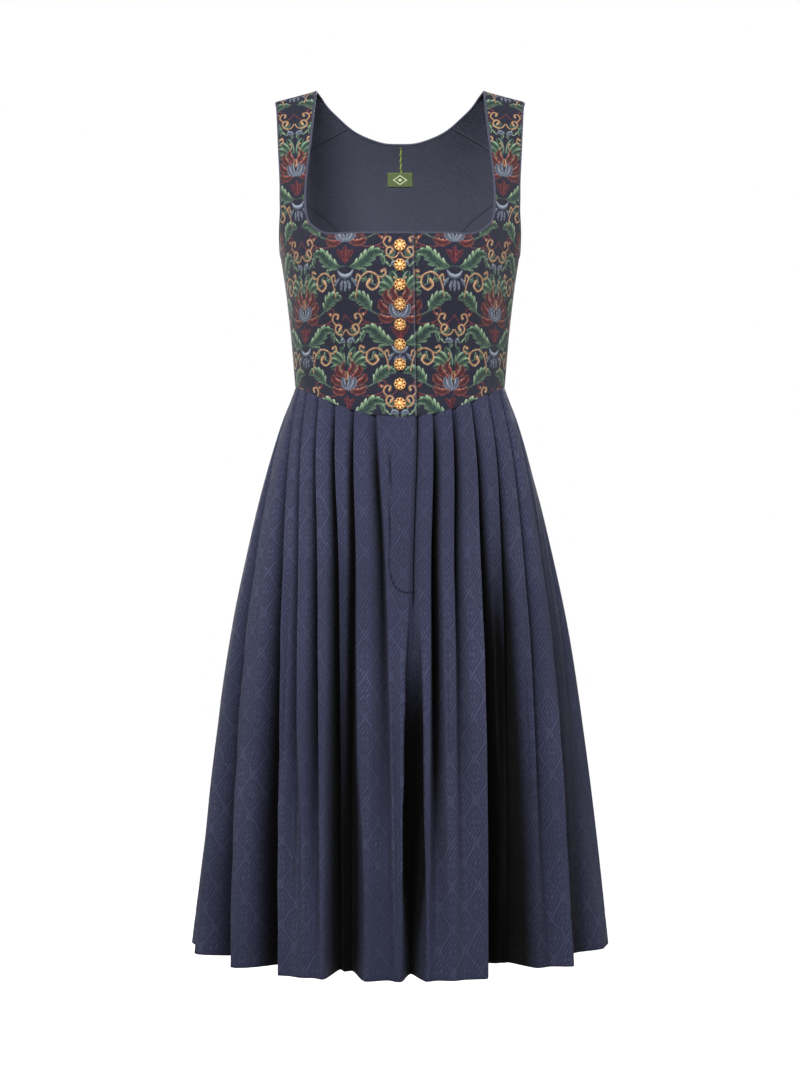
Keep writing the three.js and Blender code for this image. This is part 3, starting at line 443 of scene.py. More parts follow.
def roundFrom(turn, along, table):
    row = np.clip(along / levelSteps[1], 0, len(levelSteps) - 1.001)
    column = np.clip(np.abs(turn), 0, len(turnSteps) - 1.001)
    r, c = row.astype(int), column.astype(int)
    fr, fc = row - r, column - c
    low = table[r, c] * (1 - fc) + table[r, c + 1] * fc
    return np.sign(turn) * (low * (1 - fr) + (table[r + 1, c] * (1 - fc) + table[r + 1, c + 1] * fc) * fr)


# Cloth sheets. The runs of the panels, in millimetres, give their columns and rows.
panelRuns = {
    "frontWide": 134,
    "outsideWide": 112,
    "frontTall": 205,
    "sideWide": 68,
    "strapTall": 235,
    "strapBackTall": 115,
    "backWide": 145,
    "backTall": 340,
    "sideBackWide": 150,
    "sideBackTall": 280,
}


def stepsOf(run, spacing):
    return int(panelRuns[run] / spacing)


def newSheet(side):
    return {"side": side, "turn": [], "along": [], "back": [], "inset": [], "faces": [], "count": 0}


def quadsOf(ids, turned=False):
    # the corners of each cell of a grid, the other way round where it is turned
    quads = np.stack([ids[:-1, :-1], ids[:-1, 1:], ids[1:, 1:], ids[1:, :-1]], axis=-1).reshape(-1, 4)
    return quads[:, [0, 3, 2, 1]] if turned else quads


def gridOf(shape, closed=False):
    ids = np.arange(shape[0] * shape[1]).reshape(shape[:2])
    return np.hstack([ids, ids[:, :1]]) if closed else ids


def addPatch(sheet, patch, onBack, inset=0.0, flip=False):
    turn, along = patch
    quads = quadsOf(sheet["count"] + gridOf(turn.shape))
    sheet["faces"].append(quads[:, ::-1] if flip else quads)
    sheet["turn"].append(turn.ravel())
    sheet["along"].append(along.ravel())
    sheet["back"].append(np.full(turn.size, onBack))
    sheet["inset"].append(np.broadcast_to(inset, turn.shape).ravel())
    sheet["count"] += turn.size


def frontPatches(sheet, columnsOf, spacing, flip):
    side = sheet["side"]
    rows, sideColumns = stepsOf("frontTall", spacing), stepsOf("sideWide", spacing)
    v = np.linspace(0, 1, rows + 1)[:, None]
    sharedTurn, sharedAlong = sharedLine(v)
    power = 2 / dress["torsoRoundness"]
    sharedX = torsoAt("halfWidth", sharedAlong) * np.sin(np.radians(sharedTurn)) ** power
    share, offset, inset = columnsOf

    def xAt(along, last):
        edge = closingEdgeX(along)
        start = -edge if side < 0 else edge + bodice["lapRamp"]
        return np.where(np.isnan(offset), mixed(start, last, share), edge + np.nan_to_num(offset))

    top = alongAt(frontNeckDrop(xAt(cornerAlong, cornerX)))
    waistX = xAt(waistAlong(0, False), sharedX)
    bottom = waistAlong(turnAt(waistX, sharedAlong), False)
    along = mixed(bottom, top, v)
    x = xAt(along, sharedX)
    turn = turnAt(x, along)
    turn[:, -1:], along[:, -1:] = sharedTurn, sharedAlong
    addPatch(sheet, (turn, along), False, inset, flip)
    patch = coons(
        lambda u: (mixed(underStrap["turn"], 90, u), waistAlong(mixed(underStrap["turn"], 90, u), False)),
        lambda u: (mixed(cornerTurn, 90, u), mixed(cornerAlong, armholeFoot, u)),
        sharedLine,
        lambda w: (90 + 0 * w, mixed(waistAlong(90, False), armholeFoot, w)),
        sideColumns, rows)
    addPatch(sheet, patch, False, flip=flip)
    u, t = np.meshgrid(np.linspace(0, 1, sideColumns + 1),
                       np.linspace(0, 1, stepsOf("strapTall", spacing) + 1))
    inner, outer = edgeAt("frontNeck", t), edgeAt("frontArmhole", t)
    addPatch(sheet, [mixed(inner[k], outer[k], u) for k in (0, 1)], False, flip=flip)
    u, t = np.meshgrid(np.linspace(0, 1, sideColumns + 1),
                       np.linspace(0, 1, stepsOf("strapBackTall", spacing) + 1))
    inner, outer = edgeAt("backNeck", t * strapBackStart), edgeAt("backArmhole", mixed(1, armholeStrapEnd, t))
    addPatch(sheet, [mixed(inner[k], outer[k], u) for k in (0, 1)], True, flip=flip)


def lappingColumns(spacing):
    count = stepsOf("frontWide", spacing)
    share = np.linspace(0, 1, count + 1)
    return share, np.full(count + 1, np.nan), np.zeros(count + 1)


def underlapColumns(spacing):
    low, high = -bodice["underlapWidth"], bodice["underlapEdge"]
    under, outside = int((high - low) / spacing), stepsOf("outsideWide", spacing)
    share = np.concatenate([np.zeros(under + 1), np.linspace(0, 1, outside + 1)])
    offset = np.concatenate([np.linspace(low, high, under + 1), np.full(outside + 1, np.nan)])
    return share, offset, np.where(np.isnan(offset), 0.0, bodice["lapDepth"])


def sheetPlaces(sheet):
    turn, along = (np.concatenate(sheet[k]).astype(float) for k in ("turn", "along"))
    back, inset = (np.concatenate(sheet[k]) for k in ("back", "inset"))
    return turn, along, back, inset


def welded(points, faces):
    # one point where patches meet, and no face that has lost a corner by it
    first, back = np.unique(np.round(points, 2), axis=0, return_index=True, return_inverse=True)[1:]
    faces = back.reshape(-1)[faces]
    order = np.sort(faces, axis=1)
    return first, faces[(np.diff(order, axis=1) > 0).all(axis=1)]


def openEdges(faces):
    start, end = faces.ravel(), np.roll(faces, -1, axis=1).ravel()
    size = int(faces.max()) + 1
    code, back = start.astype(np.int64) * size + end, end.astype(np.int64) * size + start
    free = ~np.isin(code, back)
    return start[free], end[free]


def distanceTo(points, line):
    # nearest distance from each point to a few points of a seam
    best, batch = np.full(len(points), 1e9), 40
    for start in range(0, len(line), batch):
        gap = np.linalg.norm(points[:, None, :] - line[None, start:start + batch, :], axis=2)
        best = np.minimum(best, gap.min(axis=1))
    return best


def makeMesh(name, points, faces, uv=None, colour=None, extra=None):
    mesh = bpy.data.meshes.new(name)
    mesh.from_pydata((points * mm).tolist(), [], faces.tolist() if hasattr(faces, "tolist") else faces)
    mesh.polygons.foreach_set("use_smooth", [True] * len(mesh.polygons))
    corners = np.zeros(len(mesh.loops), int)
    mesh.loops.foreach_get("vertex_index", corners)
    if uv is not None:
        layer = mesh.uv_layers.new(name="cloth")
        flat = uv if len(uv) == len(corners) and len(uv) != len(points) else uv[corners]
        layer.data.foreach_set("uv", (flat * mm).ravel())
    if colour is not None:
        layer = mesh.attributes.new("ink", "FLOAT_COLOR", "POINT")
        layer.data.foreach_set("color", np.column_stack([colour, np.ones(len(colour))]).ravel())
    for key, values in (extra or {}).items():
        layer = mesh.attributes.new(key, "FLOAT", "POINT")
        layer.data.foreach_set("value", np.asarray(values, float))
    mesh.validate()
    mesh.update()
    piece = bpy.data.objects.new(name, mesh)
    bpy.context.scene.collection.objects.link(piece)
    return piece


def finishPiece(piece, material, slot, *replaced):
    piece.data.materials.append(material)
    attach(piece, "root")
    if replaced:
        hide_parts(*replaced)


bodice = {
    "fineStep": 1.0,
    "backStep": 1.15,
    "liningStep": 4.0,
    "heartAlong": 325.0,
    "backHeartAlong": 240.0,
    "dartTop": 262.0,
    "dartTopX": 72.0,
    "dartWaistX": 64.0,
    "dartTakeUp": 9.0,
    "dartGroove": 0.9,
    "lapRamp": 3.4,
    "lapDepth": 2.6,
    "underlapWidth": 24.0,
    "underlapEdge": 0.6,
    "lapSink": 1.2,
    "lapSinkReach": 8.0,
    "lapSinkFrom": -0.2,
    # painted shadow beside the lapping edge, and a painted highlight along its fold
    "lapShadow": 0.72,
    "lapShadowAt": 0.6,
    "lapShadowReach": 2.4,
    "lapEdgeLight": 0.45,
    "lapFoldAt": -0.9,
    "lapFoldReach": 1.0,
    "closingSeam": (205, 470),
    "lapHighlightTone": (92, 95, 110),
    "seamGroove": 0.8,
    "seamReach": 2.2,
    "dartReach": 1.3,
    "sideShift": 17.0,
}


def dartOf(x, drop):
    # how far past the dart's line a place is, and how much cloth the dart takes there
    waist = dress["sideWaistDrop"] + dress["frontWaistDip"]
    share = np.clip((drop - bodice["dartTop"]) / (waist - bodice["dartTop"]), 0, 1)
    return np.abs(x) - mixed(bodice["dartTopX"], bodice["dartWaistX"], share), share


def bodiceSheet(name, node, sheet, seams, onFront=False, shift=0.0):
    turn, along, back, inset = sheetPlaces(sheet)
    side = sheet["side"]
    points = torsoPoint(turn, along, side, back)
    normals = torsoNormal(turn, along, side, back)
    points[:, 1] += inset
    if onFront:
        across = side * roundFrom(turn, along, roundFront)
        up = np.where(back, along, -along) + bodice["heartAlong"]
        past, share = dartOf(points[:, 0], -points[:, 2])
        inFront = ~back
        takenUp = np.where((past > 0) & inFront, bodice["dartTakeUp"] * share, 0)
        across = across + np.sign(points[:, 0]) * takenUp
        dart = eased(0, 0.12, share) * np.exp(-(past / bodice["dartReach"]) ** 2)
        tuck = np.where(inFront, bodice["dartGroove"] * dart, 0)
    else:
        across = side * roundFrom(turn, along, roundBack) + shift * side
        up = bodice["backHeartAlong"] - along
        tuck = 0
    groove = np.zeros(len(points))
    for line in seams:
        groove = np.maximum(groove, np.exp(-(distanceTo(points, line) / bodice["seamReach"]) ** 2))
    past = points[:, 0] - closingEdgeX(along)
    if onFront and side > 0:
        sunk = bodice["lapSink"] * eased(bodice["lapSinkReach"], 0, past)
        tuck = tuck + np.where((past > bodice["lapSinkFrom"]) & inFront, sunk, 0)
    points = points - normals * (bodice["seamGroove"] * groove + tuck)[:, None]
    first, faces = welded(points, np.concatenate(sheet["faces"]))
    points, normals, across, up = points[first], normals[first], across[first], up[first]
    start, end = openEdges(faces)
    inner = points - normals * dress["bodiceCloth"]
    rim = np.stack([end, start, start + len(points), end + len(points)], axis=1)
    used = np.unique(np.concatenate([start, end]))
    place = np.zeros(2 * len(points), int)
    place[:len(points)] = np.arange(len(points))
    place[used + len(points)] = len(points) + np.arange(len(used))
    colour = printAt(across, up)
    if onFront:
        # painted shadow beside the lapping edge, and a painted highlight along the raised fold of the edge itself
        past = past[first][:, None]
        if side > 0:
            shadow = np.exp(-((past - bodice["lapShadowAt"]) / bodice["lapShadowReach"]) ** 2)
            colour = colour * (1 - bodice["lapShadow"] * shadow)
        else:
            fold = bodice["lapEdgeLight"] * np.exp(-((past - bodice["lapFoldAt"]) / bodice["lapFoldReach"]) ** 2)
            colour = mixed(colour, np.array(srgb(*bodice["lapHighlightTone"])[:3]), fold)
    uv = np.column_stack([across, up])
    keep = np.concatenate([np.arange(len(points)), used])
    piece = makeMesh(name, np.vstack([points, inner[used]]), np.vstack([faces, place[rim]]),
                     uv=uv[keep], colour=colour[keep])
    finishPiece(piece, printedFlannel, "printed_cotton", node)
    print(name, len(piece.data.polygons), "faces")


# Node helpers for the materials
def newMaterial(name):
    material = bpy.data.materials.new(name)
    material.use_nodes = True
    tree = material.node_tree
    return material, tree, tree.nodes["Principled BSDF"]


def link(tree, fromSocket, toSocket):
    tree.links.new(fromSocket, toSocket)


def feed(tree, socket, value):
    # a link where the value comes from a node, otherwise the value itself
    if hasattr(value, "is_output"):
        link(tree, value, socket)
    else:
        socket.default_value = value


def mathNode(tree, operation, *values):
    node = tree.nodes.new("ShaderNodeMath")
    node.operation = operation
    for socket, value in zip(node.inputs, values):
        feed(tree, socket, value)
    return node.outputs[0]


def times(tree, a, b):
    return mathNode(tree, "MULTIPLY", a, b)


def plus(tree, a, b):
    return mathNode(tree, "ADD", a, b)


def mixNode(tree, factor, a, b, blend="MIX"):
    node = tree.nodes.new("ShaderNodeMix")
    node.data_type = "RGBA"
    node.blend_type = blend
    for socket, value in ((0, factor), (6, a), (7, b)):
        feed(tree, node.inputs[socket], value)
    return node.outputs[2]


def noiseNode(tree, vector, scale, detail=3.0, rough=0.5):
    node = tree.nodes.new("ShaderNodeTexNoise")
    node.inputs["Scale"].default_value = scale
    node.inputs["Detail"].default_value = detail
    node.inputs["Roughness"].default_value = rough
    link(tree, vector, node.inputs["Vector"])
    return node.outputs["Fac"]


def rangeNode(tree, value, low, high, toLow, toHigh):
    node = tree.nodes.new("ShaderNodeMapRange")
    node.interpolation_type = "SMOOTHSTEP"
    for key, number in (("Value", value), ("From Min", low), ("From Max", high),
                        ("To Min", toLow), ("To Max", toHigh)):
        feed(tree, node.inputs[key], number)
    return node.outputs["Result"]


def newGroup(name, inputs, outputs):
    group = bpy.data.node_groups.new(name, "ShaderNodeTree")
    for label, kind, value in inputs:
        socket = group.interface.new_socket(label, in_out="INPUT", socket_type=kind)
        if value is not None:
            socket.default_value = value
    for label, kind in outputs:
        group.interface.new_socket(label, in_out="OUTPUT", socket_type=kind)
    return group, group.nodes.new("NodeGroupInput"), group.nodes.new("NodeGroupOutput")


def scaledVector(tree, vector, across, up):
    node = tree.nodes.new("ShaderNodeVectorMath")
    node.operation = "MULTIPLY"
    link(tree, vector, node.inputs[0])
    node.inputs[1].default_value = (across, up, 1)
    return node.outputs[0]


# Plain weave: warp and weft threads that pass over each other
def makeWeaveGroup():
    group, given, made = newGroup(
        "clothWeave",
        [("Vector", "NodeSocketVector", None), ("Threads", "NodeSocketFloat", 2500.0),
         ("Slub", "NodeSocketFloat", 0.5)],
        [("Height", "NodeSocketFloat"), ("Shade", "NodeSocketFloat")])
    split = group.nodes.new("ShaderNodeSeparateXYZ")
    link(group, given.outputs["Vector"], split.inputs[0])
    waves = []
    for axis in (0, 1):
        turned = times(group, split.outputs[axis], given.outputs["Threads"])
        waves.append(mathNode(group, "SINE", times(group, turned, 2 * math.pi)))
    over = times(group, waves[0], waves[1])
    slubs = noiseNode(group, scaledVector(group, given.outputs["Vector"], 160, 900), 1.0, 2.0)
    slubs = times(group, slubs, given.outputs["Slub"])
    height = plus(group, times(group, over, 0.25), slubs)
    link(group, height, made.inputs["Height"])
    link(group, rangeNode(group, height, -0.2, 0.8, 0.9, 1.1), made.inputs["Shade"])
    return group


# Brushed nap: soft blotches and short fibres
def makeNapGroup():
    group, given, made = newGroup(
        "brushedNap",
        [("Vector", "NodeSocketVector", None), ("Strength", "NodeSocketFloat", 0.3)],
        [("Shade", "NodeSocketFloat"), ("Height", "NodeSocketFloat")])
    fibre = noiseNode(group, given.outputs["Vector"], 620.0, 4.0, 0.7)
    blotch = noiseNode(group, given.outputs["Vector"], 170.0, 3.0, 0.6)
    both = plus(group, times(group, fibre, 0.6), times(group, blotch, 0.4))
    swing = times(group, mathNode(group, "SUBTRACT", both, 0.5), 4.0)
    shade = plus(group, times(group, swing, given.outputs["Strength"]), 1.0)
    link(group, shade, made.inputs["Shade"])
    link(group, both, made.inputs["Height"])
    return group


# Woven ornament of the blue cotton: pointed ovals in half drop, with a leaf in each and fine hatching
ornament = {
    "across": 0.034,
    "up": 0.048,
    "wobble": 0.22,
    "hatchPitch": 0.0042,
    "hatchLean": -0.6,
    "hatchWobble": 0.03,
}


def bandNode(tree, value, middle, inner, outer):
    # 1 near the middle value, fading to 0 on both sides of it
    away = mathNode(tree, "ABSOLUTE", mathNode(tree, "SUBTRACT", value, middle))
    return rangeNode(tree, away, inner, outer, 1.0, 0.0)


def makeOrnamentGroup():
    group, given, made = newGroup(
        "wovenOrnament",
        [("Vector", "NodeSocketVector", None), ("Across", "NodeSocketFloat", ornament["across"]),
         ("Up", "NodeSocketFloat", ornament["up"])],
        [("Figure", "NodeSocketFloat"), ("Hatch", "NodeSocketFloat")])
    wobble = noiseNode(group, given.outputs["Vector"], 60.0, 2.0)
    split = group.nodes.new("ShaderNodeSeparateXYZ")
    link(group, given.outputs["Vector"], split.inputs[0])
    swing = times(group, mathNode(group, "SUBTRACT", wobble, 0.5), ornament["wobble"])
    across = plus(group, mathNode(group, "DIVIDE", split.outputs[0], given.outputs["Across"]), swing)
    up = plus(group, mathNode(group, "DIVIDE", split.outputs[1], given.outputs["Up"]), swing)
    cosines = [mathNode(group, "COSINE", times(group, part, 2 * math.pi)) for part in (across, up)]
    field = plus(group, cosines[0], cosines[1])
    size = mathNode(group, "ABSOLUTE", field)
    outline = rangeNode(group, size, 0.16, 0.30, 1.0, 0.0)
    ring = bandNode(group, size, 1.0, 0.10, 0.22)
    petals = mathNode(group, "SINE", times(group, plus(group, across, up), 6 * math.pi))
    veins = mathNode(group, "SINE", times(group, mathNode(group, "SUBTRACT", across, up), 6 * math.pi))
    heart = rangeNode(group, size, 1.25, 1.5, 0.0, 1.0)
    leafy = times(group, heart, rangeNode(group, times(group, petals, veins), -0.1, 0.3, 0.0, 1.0))
    ovals = mathNode(group, "MAXIMUM", outline, times(group, ring, 0.5))
    figure = mathNode(group, "MAXIMUM", ovals, leafy)
    link(group, figure, made.inputs["Figure"])
    diagonal = plus(group, split.outputs[0], times(group, split.outputs[1], ornament["hatchLean"]))
    diagonal = plus(group, diagonal, times(group, swing, ornament["hatchWobble"]))
    hatch = mathNode(group, "SINE", times(group, diagonal, 2 * math.pi / ornament["hatchPitch"]))
    link(group, rangeNode(group, hatch, -1.0, 1.0, 0.0, 1.0), made.inputs["Hatch"])
    return group


weaveGroup, napGroup, ornamentGroup = makeWeaveGroup(), makeNapGroup(), makeOrnamentGroup()


def groupNode(tree, group, **values):
    node = tree.nodes.new("ShaderNodeGroup")
    node.node_tree = group
    for key, value in values.items():
        feed(tree, node.inputs[key], value)
    return node


def attributeOf(tree, name):
    node = tree.nodes.new("ShaderNodeAttribute")
    node.attribute_name = name
    return node.outputs


def setSockets(shader, values):
    # what is the same all over the surface
    for key, value in values.items():
        shader.inputs[key].default_value = value


def byNap(tree, nap, low, high):
    # a colour that follows the brushing of the cloth
    share = rangeNode(tree, nap.outputs["Height"], 0.3, 0.7, 0.0, 1.0)
    return mixNode(tree, share, srgb(*low), srgb(*high))


def uvOf(tree):
    node = tree.nodes.new("ShaderNodeUVMap")
    node.uv_map = "cloth"
    return node.outputs["UV"]


def objectVector(tree):
    return tree.nodes.new("ShaderNodeTexCoord").outputs["Object"]


def addBump(tree, shader, height, distance, strength=1.0, under=None):
    node = tree.nodes.new("ShaderNodeBump")
    node.inputs["Distance"].default_value = distance
    node.inputs["Strength"].default_value = strength
    link(tree, height, node.inputs["Height"])
    if under is not None:
        link(tree, under, node.inputs["Normal"])
    link(tree, node.outputs[0], shader.inputs["Normal"])
    return node.outputs[0]


flannel = {
    "nap": 0.42,
    "threads": 1500.0,
    "slub": 0.5,
    "worn": 0.06,
    "wornTone": (86, 90, 108),
    "roughness": (0.86, 0.98),
    "napBump": (0.0006, 0.5),
    "weaveBump": (0.0002, 0.4),
    "gloss": {"Sheen Weight": 0.08, "Sheen Roughness": 0.5, "Specular IOR Level": 0.12},
}


def makePrintedFlannel():
    material, tree, shader = newMaterial("printedFlannel")
    uv = uvOf(tree)
    nap = groupNode(tree, napGroup, Vector=uv, Strength=flannel["nap"])
    weave = groupNode(tree, weaveGroup, Vector=uv, Threads=flannel["threads"], Slub=flannel["slub"])
    shade = times(tree, nap.outputs["Shade"], weave.outputs["Shade"])
    worn = mixNode(tree, flannel["worn"], attributeOf(tree, "ink")["Color"], srgb(*flannel["wornTone"]))
    link(tree, mixNode(tree, 1.0, worn, shade, "MULTIPLY"), shader.inputs["Base Color"])
    uneven = rangeNode(tree, nap.outputs["Height"], 0.3, 0.7, *flannel["roughness"])
    link(tree, uneven, shader.inputs["Roughness"])
    under = addBump(tree, shader, nap.outputs["Height"], *flannel["napBump"])
    addBump(tree, shader, weave.outputs["Height"], *flannel["weaveBump"], under)
    setSockets(shader, flannel["gloss"])
    return material


cotton = {
    "threads": 1800.0,
    "slub": 0.8,
    "figureShare": 0.62,
    "groundShare": 0.38,
    "uneven": (0.88, 1.12),
    "shineOnFigure": 0.18,
    "crush": (55, 22),
    "crushBump": (0.0016, 0.35),
    "weaveBump": (0.0008, 0.8),
    "gloss": {"Sheen Weight": 0.02, "Sheen Roughness": 0.4, "Specular IOR Level": 0.08},
}


def makeBlueCotton(name, low, high, figureStrength, roughness, tuckedShade=1.0):
    material, tree, shader = newMaterial(name)
    uv = uvOf(tree)
    woven = groupNode(tree, ornamentGroup, Vector=uv)
    weave = groupNode(tree, weaveGroup, Vector=uv, Threads=cotton["threads"], Slub=cotton["slub"])
    drift = noiseNode(tree, objectVector(tree), 6.0, 3.0)
    figure = times(tree, woven.outputs["Figure"], rangeNode(tree, drift, 0.3, 0.7, 0.4, 1.0))
    strokes = plus(tree, times(tree, figure, cotton["figureShare"]), cotton["groundShare"])
    hatched = times(tree, strokes, rangeNode(tree, woven.outputs["Hatch"], 0.0, 1.0, 0.3, 1.0))
    factor = times(tree, hatched, figureStrength)
    base = mixNode(tree, factor, srgb(*low), srgb(*high))
    uneven = rangeNode(tree, drift, 0.25, 0.75, *cotton["uneven"])
    shade = times(tree, weave.outputs["Shade"], uneven)
    # painted shade: the colour goes towards black where the skirt's attribute marks deep folds, the lap and the
    # stitching
    shade = times(tree, shade, rangeNode(tree, attributeOf(tree, "tuck")["Fac"], 0.0, 1.0, 1.0, tuckedShade))
    link(tree, mixNode(tree, 1.0, base, shade, "MULTIPLY"), shader.inputs["Base Color"])
    smoother = roughness - cotton["shineOnFigure"]
    link(tree, rangeNode(tree, hatched, 0.0, 1.0, roughness, smoother), shader.inputs["Roughness"])
    crush = noiseNode(tree, scaledVector(tree, uv, *cotton["crush"]), 1.0, 4.0, 0.55)
    under = addBump(tree, shader, crush, *cotton["crushBump"])
    raised = plus(tree, times(tree, hatched, 0.6), weave.outputs["Height"])
    addBump(tree, shader, raised, *cotton["weaveBump"], under)
    setSockets(shader, cotton["gloss"])
    return material


def makePipingCloth(name, low, high):
    material, tree, shader = newMaterial(name)
    place = objectVector(tree)
    weave = groupNode(tree, weaveGroup, Vector=place, Threads=1700.0, Slub=0.7)
    nap = groupNode(tree, napGroup, Vector=place, Strength=0.2)
    base = byNap(tree, nap, low, high)
    link(tree, mixNode(tree, 1.0, base, weave.outputs["Shade"], "MULTIPLY"), shader.inputs["Base Color"])
    link(tree, rangeNode(tree, nap.outputs["Height"], 0.3, 0.7, 0.68, 0.86), shader.inputs["Roughness"])
    addBump(tree, shader, weave.outputs["Height"], 0.0003, 0.5)
    return material


gilt = {
    "low": (178, 130, 80),
    "high": (212, 166, 112),
    "hole": (46, 26, 18),
    "roughness": (0.42, 0.58),
    "holeRougher": 0.5,
    "metallic": 0.7,
    "holeDuller": 0.65,
}


def makeGilt():
    material, tree, shader = newMaterial("giltMetal")
    # painted shade: the pierced holes, marked by the attribute read here, turn dark, rougher and less metallic in
    # place of the shade inside them
    paintedHoleShade = attributeOf(tree, "paintedHoleShade")["Fac"]
    tone = noiseNode(tree, objectVector(tree), 700.0, 3.0)
    gold = mixNode(tree, rangeNode(tree, tone, 0.3, 0.7, 0.0, 1.0), srgb(*gilt["low"]), srgb(*gilt["high"]))
    link(tree, mixNode(tree, paintedHoleShade, gold, srgb(*gilt["hole"])), shader.inputs["Base Color"])
    rubbed = rangeNode(tree, tone, 0.2, 0.8, *gilt["roughness"])
    link(tree, plus(tree, rubbed, times(tree, paintedHoleShade, gilt["holeRougher"])), shader.inputs["Roughness"])
    metal = mathNode(tree, "SUBTRACT", gilt["metallic"], times(tree, paintedHoleShade, gilt["holeDuller"]))
    link(tree, metal, shader.inputs["Metallic"])
    addBump(tree, shader, tone, 0.0002, 0.4)
    return material


tabCloth = {"low": (66, 80, 44), "high": (83, 98, 56), "lozenge": (196, 204, 168), "halfSize": (0.0085, 0.0055)}


def makeTabWeave():
    material, tree, shader = newMaterial("oliveTabWeave")
    uv = uvOf(tree)
    weave = groupNode(tree, weaveGroup, Vector=uv, Threads=1400.0, Slub=0.4)
    nap = groupNode(tree, napGroup, Vector=uv, Strength=0.2)
    split = tree.nodes.new("ShaderNodeSeparateXYZ")
    link(tree, uv, split.inputs[0])
    reach = [mathNode(tree, "DIVIDE", mathNode(tree, "ABSOLUTE", split.outputs[k]), size)
             for k, size in enumerate(tabCloth["halfSize"])]
    field = plus(tree, *reach)
    outline = bandNode(tree, field, 1.0, 0.07, 0.13)
    lozenge = mathNode(tree, "MAXIMUM", outline, rangeNode(tree, field, 0.28, 0.36, 1.0, 0.0))
    ground = byNap(tree, nap, tabCloth["low"], tabCloth["high"])
    base = mixNode(tree, lozenge, ground, srgb(*tabCloth["lozenge"]))
    link(tree, mixNode(tree, 1.0, base, weave.outputs["Shade"], "MULTIPLY"), shader.inputs["Base Color"])
    link(tree, rangeNode(tree, nap.outputs["Height"], 0.3, 0.7, 0.6, 0.8), shader.inputs["Roughness"])
    addBump(tree, shader, plus(tree, weave.outputs["Height"], lozenge), 0.0003, 0.6)
    return material


def makeThread(name, low, high):
    material, tree, shader = newMaterial(name)
    twist = noiseNode(tree, objectVector(tree), 2400.0, 2.0)
    link(tree, mixNode(tree, twist, srgb(*low), srgb(*high)), shader.inputs["Base Color"])
    link(tree, rangeNode(tree, twist, 0.3, 0.7, 0.55, 0.75), shader.inputs["Roughness"])
    addBump(tree, shader, twist, 0.0002, 0.5)
    return material


printedFlannel = makePrintedFlannel()
blueCotton = makeBlueCotton("blueJacquard", (46, 48, 67), (75, 77, 100), figureStrength=0.74, roughness=0.76,
                            tuckedShade=0.0)
liningCotton = makeBlueCotton("liningCotton", (64, 66, 78), (76, 77, 90), figureStrength=0.3, roughness=0.8)
pipingCloth = makePipingCloth("pipingCloth", (42, 44, 58), (60, 63, 80))
seamShade = makePipingCloth("seamShade", (30, 31, 42), (48, 50, 64))
giltMetal = makeGilt()
tabWeave = makeTabWeave()
greenThread = makeThread("greenThread", (46, 76, 38), (84, 114, 58))
limeThread = makeThread("limeThread", (118, 134, 56), (160, 172, 86))
print("materials made")


# Seam lines, and the panels between them
def sideSeam(side):
    along = np.linspace(waistAlong(90, False), armholeFoot, 80)
    return torsoPoint(np.full(80, 90.0), along, side, False)


def princessLine(side):
    turn, along = edgeAt("princessSeam", np.linspace(0, 1, 160))
    return torsoPoint(turn, along, side, True)


def strapSeam(side):
    inner, outer = edgeAt("backNeck", strapBackStart), edgeAt("backArmhole", armholeStrapEnd)
    u = np.linspace(0, 1, 60)
    return torsoPoint(mixed(inner[0], outer[0], u), mixed(inner[1], outer[1], u), side, True)


def waistLine(side, onBack, low, high):
    turn = np.linspace(low, high, 160)
    return torsoPoint(turn, waistAlong(turn, onBack), side, onBack)


def closingLine(side):
    along = np.linspace(*bodice["closingSeam"], 200)
    x = -closingEdgeX(along) if side < 0 else closingEdgeX(along)
    return torsoPoint(turnAt(x, along), along, side, False)


sides = (("Right", -1, lappingColumns), ("Left", 1, underlapColumns))


def buildFronts():
    step = bodice["fineStep"]
    for word, side, columns in sides:
        sheet = newSheet(side)
        frontPatches(sheet, columns(step), step, side < 0)
        seams = [sideSeam(side), strapSeam(side), waistLine(side, False, -12, 90)]
        if side < 0:
            seams.append(closingLine(side))
        bodiceSheet("bodiceFront" + word, "front_" + word.lower(), sheet, seams, onFront=True)


def backCentrePatch(spacing):
    # of eleven parts, the neck takes five along the top, and the armhole one up the side
    seamTurn, neckAlong = edges["princessSeam"][-1][0], edges["backNeck"][-1][1]
    strapInner, strapOuter = edgeAt("backNeck", strapBackStart), edgeAt("backArmhole", armholeStrapEnd)
    parts = 11
    neckShare, sideShare = 5 / parts, 10 / parts

    def top(u):
        u = np.asarray(u, float)
        neck = edgeAt("backNeck", mixed(1, strapBackStart, np.minimum(1, u / neckShare)))
        t = np.clip((u - neckShare) / (1 - neckShare), 0, 1)
        return [np.where(u <= neckShare, neck[k], mixed(strapInner[k], strapOuter[k], t)) for k in (0, 1)]

    def outer(v):
        v = np.asarray(v, float)
        seam = edgeAt("princessSeam", 1 - np.minimum(1, v / sideShare))
        waist = (seamTurn, waistAlong(seamTurn, True))
        seam = [np.where(v <= 1e-9, waist[k], seam[k]) for k in (0, 1)]
        t = np.clip((v - sideShare) * parts, 0, 1)
        hole = edgeAt("backArmhole", mixed(armholePrincess, armholeStrapEnd, t))
        return [np.where(v <= sideShare, seam[k], hole[k]) for k in (0, 1)]

    return coons(
        lambda u: (mixed(0, seamTurn, u), waistAlong(mixed(0, seamTurn, u), True)),
        top,
        lambda v: (0 * np.asarray(v, float), mixed(waistAlong(0, True), neckAlong, v)),
        outer, *(int(parts * round(panelRuns[run] / spacing / parts)) for run in ("backWide", "backTall")))


